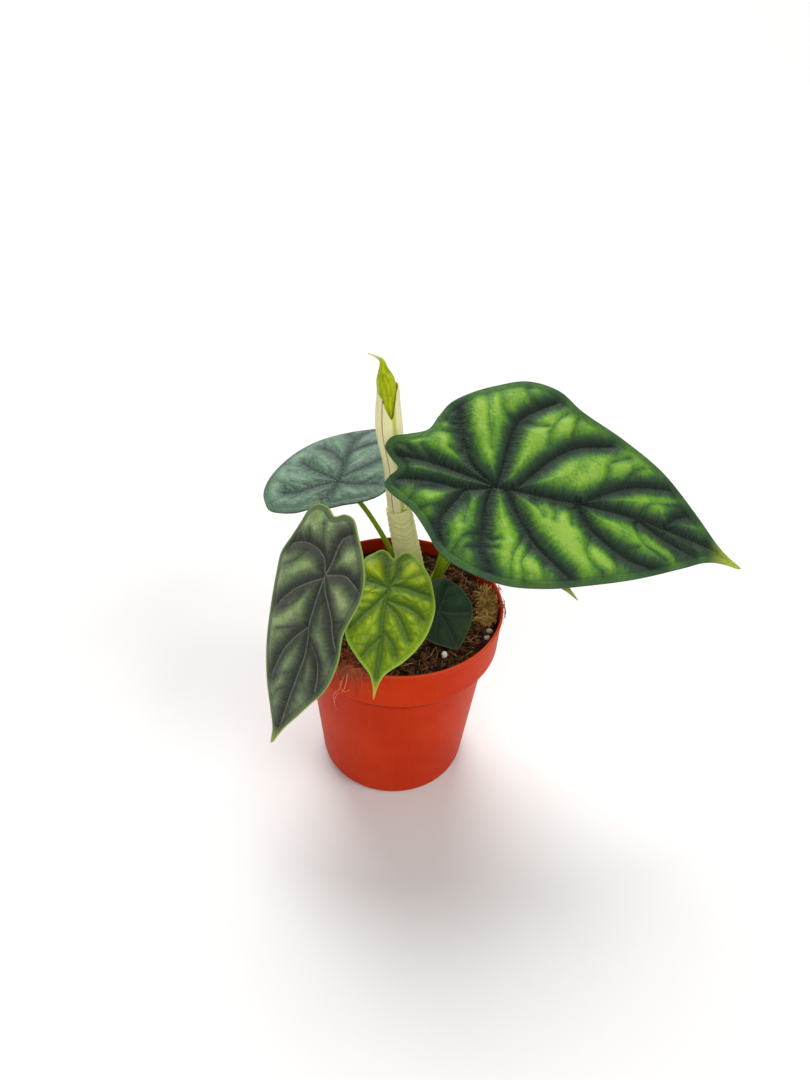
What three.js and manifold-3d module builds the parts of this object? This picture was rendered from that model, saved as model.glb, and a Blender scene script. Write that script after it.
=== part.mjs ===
// Dragon scale alocasia in a round nursery pot, in millimetres with +Z up.
// The origin is the middle of the pot's flat base, and the plant is seen from the front along +Y.
import * as THREE from 'three';
import { mergeVertices } from 'three/addons/utils/BufferGeometryUtils.js';
import Module from 'manifold-3d';

const wasm = await Module();
wasm.setup();

// Air left between two pieces that touch
const gap = 0.3;
const degree = Math.PI / 180;
const weldDistance = 1e-3;

// The pot is a 10.5 cm nursery pot: a tapered cup with a wider band under its lip
const potHeight = 104.4;
const rimRadius = 52.5;
const lipHeight = 1.6;
const lipRound = 0.3;
const bandBottomRadius = 51.5;
const bandHeight = 21.6;
const bandRound = 0.8;
const bandStep = 1.6;
const bodyTopRadius = 46.6;
const baseRadius = 39.3;
const baseEdge = 4;
const potWall = 1.3;
const potSides = 44;
const drainHoles = 6;
const drainRadius = 4;
const drainCircle = 27;
const drainSides = 12;

// The soil stands a little under the lip, with a round hole for the plant's crown
const soilLevel = 97;
const soilGap = 0.45;
const soilRoughness = 1.1;
const soilRings = 6;
const soilSides = 32;
const crownHole = 12.4;
const crownHoleDepth = 20;
const crownHoleSides = 28;

// The rhizome is a short upright stem that all the leaves grow from
const rhizomeRoute = [[6, 7, 48], [8, 9.5, 72], [10, 12, 96]];
const rhizomeRadii = [5, 9.2, 8.6, 10.4, 9.6, 11.2, 10.4, 11.6, 11, 7];
const rootRadii = [2.3, 1.7, 1.4, 0.6];
const rootRoutes = [
  [[9, 8, 74], [24, 2, 66], [33, -6, 50], [35, -12, 32]],
  [[6, 10, 70], [-10, 16, 62], [-22, 20, 46], [-27, 20, 26]],
  [[9, 12, 66], [18, 24, 58], [21, 28, 42], [19, 28, 22]],
  [[6, 6, 62], [-4, -12, 54], [-12, -24, 38], [-14, -28, 20]],
  [[5, 7, 56], [2, 4, 40], [8, 0, 24], [16, -4, 12]],
];

// A blade is laid out flat: x runs along the midrib from the petiole to the tip, y to the left.
// Outlines start at the tip and go round by the left side, with the notch between the two lobes.
// A stalk widens towards its foot.
const bladeThickness = 0.9;
const foldRound = 8;
const footFlare = 1.25;
const leaves = {
  big: {
    at: [40.7, -6.7, 178], heading: -7, pitch: 8, roll: 34,
    tipDroop: 0.12, lobeDroop: 0.1, sideDroop: 0.03, fold: 0.05,
    quilt: 2.2, veinWidth: 6, around: 84, rings: 10,
    outline: [
      [117, -4.3], [110, -1], [105, 2], [91, 14], [73, 28], [52, 38], [31, 46], [19, 53], [4, 54],
      [-10, 48], [-20, 42], [-28, 35], [-32, 27], [-35, 20], [-43, 16], [-50, 13], [-52, 8],
      [-48, 3], [-44, -1], [-47, -6], [-48, -10], [-45, -13], [-34, -19], [-25, -28], [-18, -36],
      [-5, -41], [12, -43], [29, -40], [46, -34], [67, -25], [89, -13], [98, -7.7], [104, -5.6], [110, -4.8],
    ],
    veins: [
      [[117, -4.3], [105, -0.5], [93, 1], [78, 2], [58, 3], [39, 2], [19, 1], [0, 0]],
      [[0, 0], [-11, 2], [-32, 5], [-46, 5]],
      [[0, 0], [-13, -4], [-29, -4], [-46, -6]],
      [[-2, 1], [-12, 7], [-20, 20], [-24, 34]],
      [[0, 0], [1, 10], [2, 26], [4, 34], [12, 42], [19, 47]],
      [[8, 1], [15, 11], [24, 22], [32, 28], [47, 33]],
      [[38, 2], [45, 8], [54, 14], [63, 18], [77, 21]],
      [[78, 2], [81, 8], [89, 12]],
      [[-13, -4], [-18, -14], [-21, -21], [-20, -30]],
      [[-2, 0], [-3, -10], [-2, -20], [-1, -30], [4, -39]],
      [[4, 0], [13, -13], [21, -22], [30, -28], [38, -33]],
      [[36, 2], [42, -7], [52, -13], [62, -17], [76, -18]],
      [[65, 2], [78, -3], [91, -6]],
    ],
    petiole: {
      route: [[18.5, 10.5, 90], [19, 10, 112], [22, 8, 132], [29, 3, 153], [37, -3, 169], [41, -7, 178]],
      foot: 2.3, neck: 1.7,
    },
  },
  front: {
    at: [-32.9, -27.9, 141], heading: -127.6, pitch: 57, roll: 4,
    tipDroop: 0.15, lobeDroop: 0.3, sideDroop: 0.45, fold: 0.05,
    quilt: 1.1, veinWidth: 4.5, around: 60, rings: 6,
    outline: [
      [88, -2], [82, 1], [76, 4], [66, 10], [57, 15], [48, 20], [39, 22], [30, 22], [20, 20], [11, 21],
      [3, 22], [-4, 21], [-9, 19], [-16, 14], [-22, 8], [-28, 1], [-28, -4], [-25, -9], [-27, -15],
      [-26, -22], [-21, -26], [-15, -27], [-7, -29], [3, -32], [12, -30], [27, -26], [44, -21],
      [60, -14], [72, -7], [80, -3],
    ],
    veins: [
      [[88, -2], [82, -1], [65, 2], [47, 4], [33, 3], [23, 1], [10, 0], [0, 0]],
      [[0, 0], [-12, -8], [-21, -13]],
      [[0, 0], [-10, 0], [-17, 0], [-21, 3]],
      [[-1, -1], [-7, -5], [-8, -11], [-7, -19], [-3, -28]],
      [[1, 0], [10, -11], [16, -18], [25, -23]],
      [[23, 1], [32, -5], [42, -8], [54, -13]],
      [[34, 3], [46, 1], [56, -1], [67, -4]],
      [[0, 0], [-3, 7], [-3, 14], [0, 20]],
      [[4, 0], [13, 9], [21, 14], [28, 19]],
      [[28, 2], [34, 9], [39, 12], [48, 13]],
    ],
    petiole: {
      route: [[2.6, 9.5, 90], [1, 8, 104], [-5, 2, 115], [-16, -9, 125], [-25, -19, 134], [-34, -29, 142]],
      foot: 1.7, neck: 1.4,
    },
  },
  back: {
    at: [-33.3, 35.3, 150], heading: 73, pitch: -12, roll: -9,
    tipDroop: 0.45, lobeDroop: 0.3, sideDroop: 0.2, fold: 0.05,
    quilt: 1.3, veinWidth: 4.5, around: 54, rings: 6,
    outline: [
      [76, 2], [70, 5], [62, 11], [50, 20], [38, 28], [24, 34], [8, 38], [-4, 39], [-13, 37], [-19, 33],
      [-23, 29], [-24, 22], [-23, 14], [-20, 8], [-16, 3], [-18, -1], [-15, -9], [-12, -17], [-7, -24],
      [0, -28], [10, -31], [24, -30], [38, -24], [50, -15], [62, -6], [70, 0],
    ],
    veins: [
      [[76, 2], [60, 7], [39, 8], [25, 5], [13, 2], [0, 0]],
      [[0, 0], [-5, 0], [-13, 2]],
      [[-1, 1], [-6, 11], [-11, 18], [-12, 26]],
      [[0, 0], [4, 10], [7, 18], [12, 26]],
      [[-1, 0], [-1, -11], [1, -22]],
      [[2, 0], [8, -5], [16, -12], [23, -16]],
      [[13, 2], [23, 13], [28, 23]],
      [[25, 5], [36, -2], [44, -10]],
      [[39, 8], [46, 14], [50, 16]],
    ],
    petiole: {
      route: [[2.3, 15, 90], [0, 17, 108], [-8, 22, 124], [-19, 28, 139], [-28, 33, 147], [-34, 36, 152]],
      foot: 1.5, neck: 1.25,
    },
  },
  young: {
    at: [-4.4, -21.8, 131], heading: -95.5, pitch: 24, roll: 0,
    tipDroop: 0.3, lobeDroop: 0.3, sideDroop: -0.3, fold: 0.1,
    quilt: 0.9, veinWidth: 3.5, around: 44, rings: 5,
    outline: [
      [51, 0], [46, 1], [41, 3], [38, 6], [35, 10], [31, 14], [27, 17], [21, 20], [10, 22], [0, 20],
      [-6, 18], [-11, 15], [-15, 12], [-19, 7], [-18, 3], [-15, 0], [-18, -3], [-19, -6], [-16, -10],
      [-13, -13], [-3, -16], [6, -17], [15, -18], [22, -17], [28, -15], [34, -10], [38, -6], [41, -3],
      [46, -1],
    ],
    veins: [
      [[51, 0], [43, 0], [29, 0], [11, -1], [0, 0]],
      [[0, 0], [-6, 3], [-13, 3], [-17, 5]],
      [[0, 0], [-7, -2], [-14, -3], [-17, -6]],
      [[0, 0], [0, 7], [2, 13], [4, 20]],
      [[7, 0], [9, 8], [12, 14], [15, 17]],
      [[9, 0], [13, 5], [21, 10], [25, 12]],
      [[1, 0], [0, -4], [-1, -9], [-1, -12]],
      [[4, -1], [10, -5], [16, -10], [22, -14]],
      [[22, 0], [27, 5], [32, 7]],
      [[24, 0], [30, -5], [33, -7]],
    ],
    petiole: {
      route: [[7.3, 5, 90], [7, 1, 104], [5, -7, 116], [1, -15, 125], [-3, -20, 129.5], [-5.5, -23.5, 133]],
      foot: 1.4, neck: 1.1,
    },
  },
  small: {
    at: [19.1, -16.7, 113], heading: -48, pitch: 35, roll: 18,
    tipDroop: 0.3, lobeDroop: 0.2, sideDroop: 0.3, fold: 0.05,
    quilt: 0.5, veinWidth: 2.5, around: 28, rings: 4,
    outline: [
      [20, -1], [16, 7], [12, 12], [6, 16], [-2, 16], [-8, 14], [-13, 10], [-14, 5], [-11, 1],
      [-13, -4], [-11, -9], [-5, -12], [3, -13], [10, -11], [16, -6],
    ],
    veins: [
      [[20, -1], [9, 0], [0, 0]],
      [[0, 0], [5, 7], [8, 13]],
      [[0, 0], [-5, 7], [-8, 11]],
      [[0, 0], [6, -5], [11, -8]],
      [[0, 0], [-3, -6], [-5, -10]],
    ],
    petiole: {
      route: [[13, 5, 90], [14, 1, 101], [16, -7, 107.5], [18, -13, 111], [20, -19, 114.5]],
      foot: 1.1, neck: 0.9,
    },
  },
  hidden: {
    at: [46.8, 22.4, 140], heading: -50.6, pitch: 8, roll: 25,
    tipDroop: 0.3, lobeDroop: 0.3, sideDroop: 0.3, fold: 0.05,
    quilt: 0.7, veinWidth: 3.5, around: 36, rings: 5,
    outline: [
      [55.5, 0], [52, 0.6], [48, 1.4], [44, 3.5], [38, 9], [28, 15], [15, 19], [4, 19], [-6, 17], [-13, 13],
      [-18, 8], [-19, 4], [-15, 0], [-19, -4], [-18, -8], [-13, -13], [-6, -17], [4, -19], [15, -19],
      [28, -15], [38, -9], [44, -3.5], [48, -1.4], [52, -0.6],
    ],
    veins: [
      [[55.5, 0], [38, 0], [0, 0]],
      [[0, 0], [-8, 3], [-16, 5]],
      [[0, 0], [-8, -3], [-16, -5]],
      [[0, 0], [2, 9], [8, 16]],
      [[0, 0], [2, -9], [8, -16]],
      [[14, 0], [21, 8], [30, 13]],
      [[14, 0], [21, -8], [30, -13]],
      [[33, 0], [38, 5], [43, 7]],
      [[33, 0], [38, -5], [43, -7]],
    ],
    petiole: {
      route: [[17.5, 14.8, 90], [19, 15, 104], [25, 16, 118], [33, 18.5, 130], [42, 21, 137], [49, 23, 142]],
      foot: 1.25, neck: 1.05,
    },
  },
};

// The newest leaf still stands rolled up. A papery sheath holds its foot, and near its top the roll
// opens at the front on the yellow-green heart, which ends in a thin curved tip.
const rollRoute = [
  [8.8, 13, 99], [3.6, 15, 122], [-2.2, 18, 148], [-4.6, 19.5, 170], [-7.8, 20.5, 188], [-8.7, 21, 200],
  [-9, 21, 211],
];
const rollRadii = [4.6, 5.1, 5.3, 5.4, 5.6, 6.3, 5];
const sheathRoute = [[10.2, 12.5, 92], [8.8, 13, 99], [3.6, 15, 122], [-2.2, 18, 148]];
const sheathRadii = [5.4, 6.6, 6.6, 6.2];
const heartRoute = [
  [-7.8, 20.3, 184], [-8.8, 20.6, 198], [-9.7, 20.4, 210], [-11.1, 20.4, 218], [-12, 20.4, 222],
  [-14.5, 20.4, 223.8], [-18, 20.5, 225],
];
const heartRadii = [1.5, 3, 4, 4.1, 4, 4.3, 3.9, 2, 0.7, 0.35];
const rollOpening = { at: [-10.4, 13.8, 212], half: [4.9, 8.5, 17.5], lean: -14 };

// A dry stub of an old leaf stalk leans between the petioles on the right
const stalkRoute = [[14.6, 18.4, 90], [16.5, 19, 104], [23, 21, 117], [28, 22, 124]];
const stalkRadii = [1, 0.85, 0.8, 0.7];

const looks = {
  pot: { color: 0xc4472a, roughness: 0.45 },
  soil: { color: 0x3a2517, roughness: 1 },
  rhizome: { color: 0x6d5a35, roughness: 0.8 },
  petiole: { color: 0x86a03a, roughness: 0.5 },
  bigBlade: { color: 0x3f7a3a, roughness: 0.4 },
  frontBlade: { color: 0x5a7a58, roughness: 0.5 },
  backBlade: { color: 0x4b7a68, roughness: 0.4 },
  youngBlade: { color: 0x7fb41c, roughness: 0.35 },
  smallBlade: { color: 0x2f5a38, roughness: 0.5 },
  hiddenBlade: { color: 0x3f7a3a, roughness: 0.4 },
  sheath: { color: 0xd9d6a4, roughness: 0.6 },
  roll: { color: 0xe6e3b8, roughness: 0.55 },
  heart: { color: 0xb4c820, roughness: 0.4 },
  stalk: { color: 0xc9bf86, roughness: 0.8 },
};

const point = (p) => new THREE.Vector3(...p);
const curveThrough = (points) => new THREE.CatmullRomCurve3(points.map(point), false, 'centripetal');

// One closed body from a geometry: equal vertices merged, empty triangles dropped, faces outward
function solid(geometry) {
  geometry.deleteAttribute('normal');
  geometry.deleteAttribute('uv');
  const merged = mergeVertices(geometry, weldDistance);
  const corners = merged.index.array;
  const triangles = [];
  for (let i = 0; i < corners.length; i += 3) {
    const [a, b, c] = [corners[i], corners[i + 1], corners[i + 2]];
    if (a !== b && b !== c && c !== a) triangles.push([a, b, c]);
  }
  const vertProperties = Float32Array.from(merged.attributes.position.array);
  const build = (list) => new wasm.Manifold(
    new wasm.Mesh({ numProp: 3, vertProperties, triVerts: Uint32Array.from(list.flat()) }));
  const body = build(triangles);
  return body.volume() > 0 ? body : build(triangles.map(([a, b, c]) => [a, c, b]));
}

// The largest piece that a cut leaves
function mainPiece(body) {
  return body.decompose().sort((a, b) => b.volume() - a.volume())[0];
}

function geometryOf(body) {
  const mesh = body.getMesh();
  const geometry = new THREE.BufferGeometry();
  geometry.setAttribute('position', new THREE.BufferAttribute(Float32Array.from(mesh.vertProperties), 3));
  geometry.setIndex(Array.from(mesh.triVerts));
  geometry.computeVertexNormals();
  return geometry;
}

// A round profile turned about Z, given as [radius, height] points
function turned(profile, sides) {
  const geometry = new THREE.LatheGeometry(profile.map(([r, z]) => new THREE.Vector2(r, z)), sides);
  geometry.rotateX(Math.PI / 2);
  return geometry;
}

// A tapered stem: a turned rod of height 1, whose rings are then set square to its route
function stem(route, radii, { sides = 8, steps = 10, extra = 0 } = {}) {
  const curve = curveThrough(route);
  const frames = curve.computeFrenetFrames(steps, false);
  const thickness = new THREE.SplineCurve(radii.map((r, i) => new THREE.Vector2(i / (radii.length - 1), r)));
  const profile = [[0, 0]];
  for (let k = 0; k <= steps; k++) profile.push([1, k / steps]);
  profile.push([0, 1]);
  const geometry = turned(profile, sides);
  const places = geometry.attributes.position;
  for (let i = 0; i < places.count; i++) {
    const along = Math.min(Math.max(places.getZ(i), 0), 1);
    const k = Math.round(along * steps);
    const radius = thickness.getPoint(along).y + extra;
    const overrun = extra * (k === 0 ? -1 : k === steps ? 1 : 0);
    const at = curve.getPointAt(along)
      .addScaledVector(frames.tangents[k], overrun)
      .addScaledVector(frames.normals[k], places.getX(i) * radius)
      .addScaledVector(frames.binormals[k], places.getY(i) * radius);
    places.setXYZ(i, at.x, at.y, at.z);
  }
  return solid(geometry);
}

// Distance from a point of the blade to the nearest vein
function veinDistance(veins, x, y) {
  let nearest = Infinity;
  for (const vein of veins) {
    for (let i = 0; i < vein.length - 1; i++) {
      const [ax, ay] = vein[i];
      const [bx, by] = [vein[i + 1][0] - ax, vein[i + 1][1] - ay];
      const share = Math.min(Math.max(((x - ax) * bx + (y - ay) * by) / (bx * bx + by * by), 0), 1);
      nearest = Math.min(nearest, Math.hypot(x - ax - share * bx, y - ay - share * by));
    }
  }
  return nearest;
}

// Height of the blade over its flat layout: it droops at the tip, lobes and sides, folds a little
// along the midrib, and is quilted, with the veins sunk between puffed cells that fade at the margin
function bladeHeight(leaf, x, y, reach) {
  const endDroop = x > 0 ? leaf.tipDroop : leaf.lobeDroop;
  const bend = -endDroop * x * x / 100 - leaf.sideDroop * y * y / 100
    + leaf.fold * (Math.hypot(y, foldRound) - foldRound);
  const away = veinDistance(leaf.veins, x, y) / leaf.veinWidth;
  return bend + leaf.quilt * (1 - Math.exp(-away * away)) * (1 - reach ** 4);
}

// The blade as rings round the petiole, alike on both faces, from the outline's own curve
function blade(leaf, extra = 0) {
  const corners = leaf.outline.map(([x, y]) => new THREE.Vector3(x, y, 0));
  const outline = new THREE.CatmullRomCurve3(corners, true, 'centripetal');
  const edge = outline.getSpacedPoints(leaf.around).slice(0, leaf.around);
  const sheets = [extra, -bladeThickness - extra];
  const perSheet = 1 + leaf.around * leaf.rings;
  const places = [];
  const index = [];
  for (const offset of sheets) {
    places.push(0, 0, bladeHeight(leaf, 0, 0, 0) + offset);
    for (let ring = 1; ring <= leaf.rings; ring++) {
      const reach = ring / leaf.rings;
      for (const { x, y } of edge) {
        places.push(x * reach, y * reach, bladeHeight(leaf, x * reach, y * reach, reach) + offset);
      }
    }
  }
  const vertex = (sheet, ring, i) => sheet * perSheet + 1 + (ring - 1) * leaf.around + i % leaf.around;
  for (let i = 0; i < leaf.around; i++) {
    for (const sheet of [0, 1]) {
      const faces = [[sheet * perSheet, vertex(sheet, 1, i), vertex(sheet, 1, i + 1)]];
      for (let ring = 1; ring < leaf.rings; ring++) {
        const [a, b] = [vertex(sheet, ring, i), vertex(sheet, ring, i + 1)];
        const [c, d] = [vertex(sheet, ring + 1, i), vertex(sheet, ring + 1, i + 1)];
        faces.push([a, c, d], [a, d, b]);
      }
      for (const [a, b, c] of faces) index.push(...(sheet === 0 ? [a, b, c] : [a, c, b]));
    }
    const [a, b] = [vertex(0, leaf.rings, i), vertex(0, leaf.rings, i + 1)];
    const [c, d] = [vertex(1, leaf.rings, i), vertex(1, leaf.rings, i + 1)];
    index.push(a, c, d, a, d, b);
  }
  const geometry = new THREE.BufferGeometry();
  geometry.setAttribute('position', new THREE.Float32BufferAttribute(places, 3));
  geometry.setIndex(index);
  return solid(geometry);
}

function bladePlace(leaf) {
  const turn = new THREE.Euler(leaf.roll * degree, leaf.pitch * degree, leaf.heading * degree, 'ZYX');
  return new THREE.Matrix4().makeRotationFromEuler(turn).setPosition(...leaf.at);
}

// The pot's wall, [radius, height], from its foot outward and over the lip
function potOutside() {
  const bandBottom = potHeight - bandHeight;
  const foot = [0, 30, 60, 90].map((a) => [
    baseRadius - baseEdge + baseEdge * Math.sin(a * degree), baseEdge - baseEdge * Math.cos(a * degree)]);
  return [
    ...foot, [bodyTopRadius, bandBottom - bandStep], [bandBottomRadius - bandRound, bandBottom],
    [bandBottomRadius, bandBottom + bandRound], [rimRadius - lipRound, potHeight - lipHeight - bandRound],
    [rimRadius, potHeight - lipHeight], [rimRadius - lipRound, potHeight], [rimRadius - potWall, potHeight],
  ];
}

function potInside() {
  const bandBottom = potHeight - bandHeight + potWall;
  return [
    [rimRadius - potWall - lipRound, potHeight - lipHeight],
    [bandBottomRadius - potWall, bandBottom + bandRound],
    [bandBottomRadius - potWall - bandRound, bandBottom], [bodyTopRadius - potWall, bandBottom - bandStep],
    [baseRadius - potWall, baseEdge + potWall], [baseRadius - baseEdge, potWall],
  ];
}

function potSolid() {
  const cup = solid(turned([[0, 0], ...potOutside(), ...potInside(), [0, potWall]], potSides));
  const holes = [];
  for (let i = 0; i < drainHoles; i++) {
    const angle = 2 * Math.PI * (i + 0.5) / drainHoles;
    const hole = new THREE.CylinderGeometry(drainRadius, drainRadius, 4 * potWall, drainSides);
    hole.rotateX(Math.PI / 2);
    hole.translate(drainCircle * Math.cos(angle), drainCircle * Math.sin(angle), 0);
    holes.push(solid(hole));
  }
  return holes.reduce((left, hole) => left.subtract(hole), cup);
}

// Lumps of the soil's top, a sum of waves that never repeats over the pot
function soilLump(x, y) {
  return Math.sin(0.31 * x + 1.3 * Math.sin(0.17 * y)) * Math.cos(0.27 * y - 0.6)
    + 0.6 * Math.sin(0.53 * x - 0.41 * y + 2) + 0.4 * Math.cos(0.22 * x + 0.71 * y);
}

function soilSolid() {
  const wall = potInside().slice(1).map(([r, z]) => [r - soilGap, z + soilGap]).reverse();
  const topRadius = bandBottomRadius - potWall - soilGap;
  const top = [];
  for (let ring = soilRings; ring > 0; ring--) top.push([topRadius * ring / soilRings, soilLevel]);
  const geometry = turned([[0, potWall + soilGap], ...wall, ...top, [0, soilLevel]], soilSides);
  const places = geometry.attributes.position;
  for (let i = 0; i < places.count; i++) {
    const [x, y, z] = [places.getX(i), places.getY(i), places.getZ(i)];
    if (z > soilLevel - 1) places.setZ(i, z + soilRoughness * soilLump(x, y));
  }
  const hole = new THREE.CylinderGeometry(crownHole, crownHole, 2 * crownHoleDepth, crownHoleSides);
  hole.rotateX(Math.PI / 2);
  hole.translate(...rhizomeRoute.at(-1));
  return mainPiece(solid(geometry).subtract(solid(hole)).subtract(rhizomeSolid(gap)));
}

// The rhizome with its leaf scars as rings, and stout roots grown out of it
function rhizomeSolid(extra = 0) {
  const body = stem(rhizomeRoute, rhizomeRadii, { sides: 14, steps: 16, extra });
  const roots = rootRoutes.map((route) => stem(route, rootRadii, { sides: 5, steps: 5, extra }));
  return roots.reduce((whole, root) => whole.add(root), body);
}

function petiole(leaf, extra = 0) {
  const { route, foot, neck } = leaf.petiole;
  return stem(route, [foot * footFlare, foot, neck, neck], { extra });
}

function sheathSolid(extra = 0) {
  const outer = stem(sheathRoute, sheathRadii, { sides: 12, steps: 7, extra });
  return extra ? outer : outer.subtract(rollSolid(gap)).subtract(rhizomeSolid(gap));
}

function heartSolid(extra = 0) {
  return stem(heartRoute, heartRadii, { sides: 10, steps: 14, extra });
}

// The roll without its front near the top, where the heart shows
function rollSolid(extra = 0) {
  const whole = stem(rollRoute, rollRadii, { sides: 12, steps: 14, extra });
  if (extra) return whole;
  const opening = new THREE.SphereGeometry(1, 12, 8);
  opening.scale(...rollOpening.half);
  opening.rotateY(rollOpening.lean * degree);
  opening.translate(...rollOpening.at);
  return mainPiece(whole.subtract(heartSolid(gap)).subtract(solid(opening)));
}

const plant = new THREE.Group();

function addNode(name, body, look, place) {
  const material = new THREE.MeshStandardMaterial({ ...looks[look], metalness: 0 });
  const mesh = new THREE.Mesh(geometryOf(body), material);
  mesh.name = name;
  if (place) mesh.applyMatrix4(place);
  plant.add(mesh);
}

addNode('pot', potSolid(), 'pot');
addNode('soil', soilSolid(), 'soil');
addNode('rhizome', rhizomeSolid(), 'rhizome');

// Stems that stand on the crown are cut where they meet it and the stems before them
const standing = [rhizomeSolid(gap), sheathSolid(gap)];
const seated = (body) => mainPiece(standing.reduce((left, other) => left.subtract(other), body));

for (const [name, leaf] of Object.entries(leaves)) {
  const place = bladePlace(leaf);
  const above = blade(leaf, gap).transform(place.toArray());
  addNode(`petiole_${name}`, mainPiece(seated(petiole(leaf)).subtract(above)), 'petiole');
  addNode(`blade_${name}`, blade(leaf), `${name}Blade`, place);
  standing.push(petiole(leaf, gap));
}

addNode('spear_sheath', mainPiece(sheathSolid()), 'sheath');
addNode('spear_roll', rollSolid(), 'roll');
addNode('spear_heart', heartSolid(), 'heart');
addNode('old_stalk', seated(stem(stalkRoute, stalkRadii, { sides: 7, steps: 7 })), 'stalk');

export default plant;
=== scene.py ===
import math
import random
import bmesh
import bpy
import numpy as np
from mathutils import Euler, Matrix, Vector, noise


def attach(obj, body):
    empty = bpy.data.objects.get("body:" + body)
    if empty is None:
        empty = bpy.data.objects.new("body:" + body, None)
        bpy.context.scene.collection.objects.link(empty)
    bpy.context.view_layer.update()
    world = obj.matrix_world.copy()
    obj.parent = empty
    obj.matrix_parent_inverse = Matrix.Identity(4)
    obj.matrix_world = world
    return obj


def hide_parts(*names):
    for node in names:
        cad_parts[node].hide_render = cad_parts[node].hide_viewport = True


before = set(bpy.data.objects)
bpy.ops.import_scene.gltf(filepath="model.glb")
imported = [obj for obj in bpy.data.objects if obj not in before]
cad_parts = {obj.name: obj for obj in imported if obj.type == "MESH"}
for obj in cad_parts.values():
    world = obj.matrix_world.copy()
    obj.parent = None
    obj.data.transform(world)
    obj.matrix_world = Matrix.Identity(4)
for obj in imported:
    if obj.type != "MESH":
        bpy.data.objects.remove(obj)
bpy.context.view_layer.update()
mm = 0.001
chance = random.Random(27)
noise.seed_set(27)  # else noise vectors differ from run to run


# Materials: a wire is one socket, used in plain arithmetic
def sign(operation, swapped=False):
    def apply(self, other):
        return self.math(operation, *((other, self) if swapped else (self, other)))
    return apply


class Wire:
    def __init__(self, finish, socket):
        self.finish, self.socket = finish, socket

    def math(self, operation, *values):
        return self.finish.node("ShaderNodeMath", {"operation": operation}, dict(enumerate(values)))

    def size(self):
        return self.math("ABSOLUTE", self)

    __add__, __radd__ = sign("ADD"), sign("ADD", swapped=True)
    __sub__, __rsub__ = sign("SUBTRACT"), sign("SUBTRACT", swapped=True)
    __mul__, __rmul__ = sign("MULTIPLY"), sign("MULTIPLY", swapped=True)
    __truediv__, __pow__ = sign("DIVIDE"), sign("POWER")


class Finish:
    def __init__(self, name, specular=0.5):
        self.material = bpy.data.materials.new(name)
        self.material.use_nodes = True
        self.nodes = self.material.node_tree.nodes
        self.links = self.material.node_tree.links
        self.sockets = self.nodes["Principled BSDF"].inputs
        self.sockets["Specular IOR Level"].default_value = specular

    def node(self, kind, settings=None, inputs=None, output=0):
        made = self.nodes.new(kind)
        for key, value in (settings or {}).items():
            if key == "stops":
                while len(made.color_ramp.elements) < len(value):
                    made.color_ramp.elements.new(1)
                for element, (spot, colour) in zip(made.color_ramp.elements, value):
                    element.position, element.color = spot, (*colour, 1)
            else:
                setattr(made, key, value)
        for key, value in (inputs or {}).items():
            self.feed(made.inputs[key], value)
        return Wire(self, made.outputs[output])

    def feed(self, socket, value):
        if isinstance(value, Wire):
            self.links.new(value.socket, socket)
        elif socket.type == "RGBA":
            socket.default_value = (*value, 1)
        else:
            socket.default_value = value

    def give(self, colour, rough, normal=None):
        self.feed(self.sockets["Base Color"], colour)
        self.feed(self.sockets["Roughness"], rough)
        if normal:
            self.feed(self.sockets["Normal"], normal)
        return self.material

    def stored(self, name, output="Fac"):
        return self.node("ShaderNodeAttribute", {"attribute_name": name}, output=output)

    def stretch(self, vector, by):
        return self.node("ShaderNodeVectorMath", {"operation": "MULTIPLY"}, {0: vector, 1: by})

    def place(self, by=(1, 1, 1)):  # the point on the piece, in millimetres, stretched
        at = self.node("ShaderNodeTexCoord", output="Object")
        return self.stretch(at, tuple(1000 * k for k in by))

    def vector(self, x, y, z):
        return self.node("ShaderNodeCombineXYZ", inputs={0: x, 1: y, 2: z})

    def cloud(self, at, scale, detail=2, rough=0.5):
        return self.node("ShaderNodeTexNoise", inputs={
            "Vector": at, "Scale": scale, "Detail": detail, "Roughness": rough})

    def ease(self, value, low, high, first=0, last=1):
        return self.node("ShaderNodeMapRange", {"interpolation_type": "SMOOTHSTEP"}, {
            "Value": value, "From Min": low, "From Max": high, "To Min": first, "To Max": last})

    def mix(self, share, a, b):
        return self.node("ShaderNodeMix", {"data_type": "RGBA"}, {0: share, 6: a, 7: b}, 2)

    def bump(self, height, depth, under=None):  # height 0 to 1 times depth in millimetres
        inputs = {"Height": height, "Strength": 1, "Distance": depth * mm}
        if under:
            inputs["Normal"] = under
        return self.node("ShaderNodeBump", inputs=inputs)


# Shapes
def lengthAlong(path):  # from the start to each point
    return np.append(0, np.cumsum(np.linalg.norm(np.diff(path, axis=0), axis=1)))


def smoothPath(points, count, closed=False):  # points at even spacing on a smooth curve
    p = np.array(points, float)
    whole = [p[-1], *p, p[0], p[1]] if closed else [2 * p[0] - p[1], *p, 2 * p[-1] - p[-2]]
    t = np.linspace(0, 1, 16, endpoint=False)[:, None]
    fine = []
    for a, b, c, d in zip(whole, whole[1:], whole[2:], whole[3:]):
        ab, bc, cd = (np.linalg.norm(v) ** 0.5 for v in (b - a, c - b, d - c))
        leave = ((b - a) / ab - (c - a) / (ab + bc) + (c - b) / bc) * bc
        arrive = ((c - b) / bc - (d - b) / (bc + cd) + (d - c) / cd) * bc
        fine.append(b + leave * t + (3 * (c - b) - 2 * leave - arrive) * t ** 2
                    + (2 * (b - c) + leave + arrive) * t ** 3)
    fine = np.vstack([*fine, p[:1] if closed else p[-1:]])
    length = lengthAlong(fine)
    at = np.linspace(0, length[-1], count, endpoint=not closed)
    return np.stack([np.interp(at, length, fine[:, k]) for k in range(p.shape[1])], 1)


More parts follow.
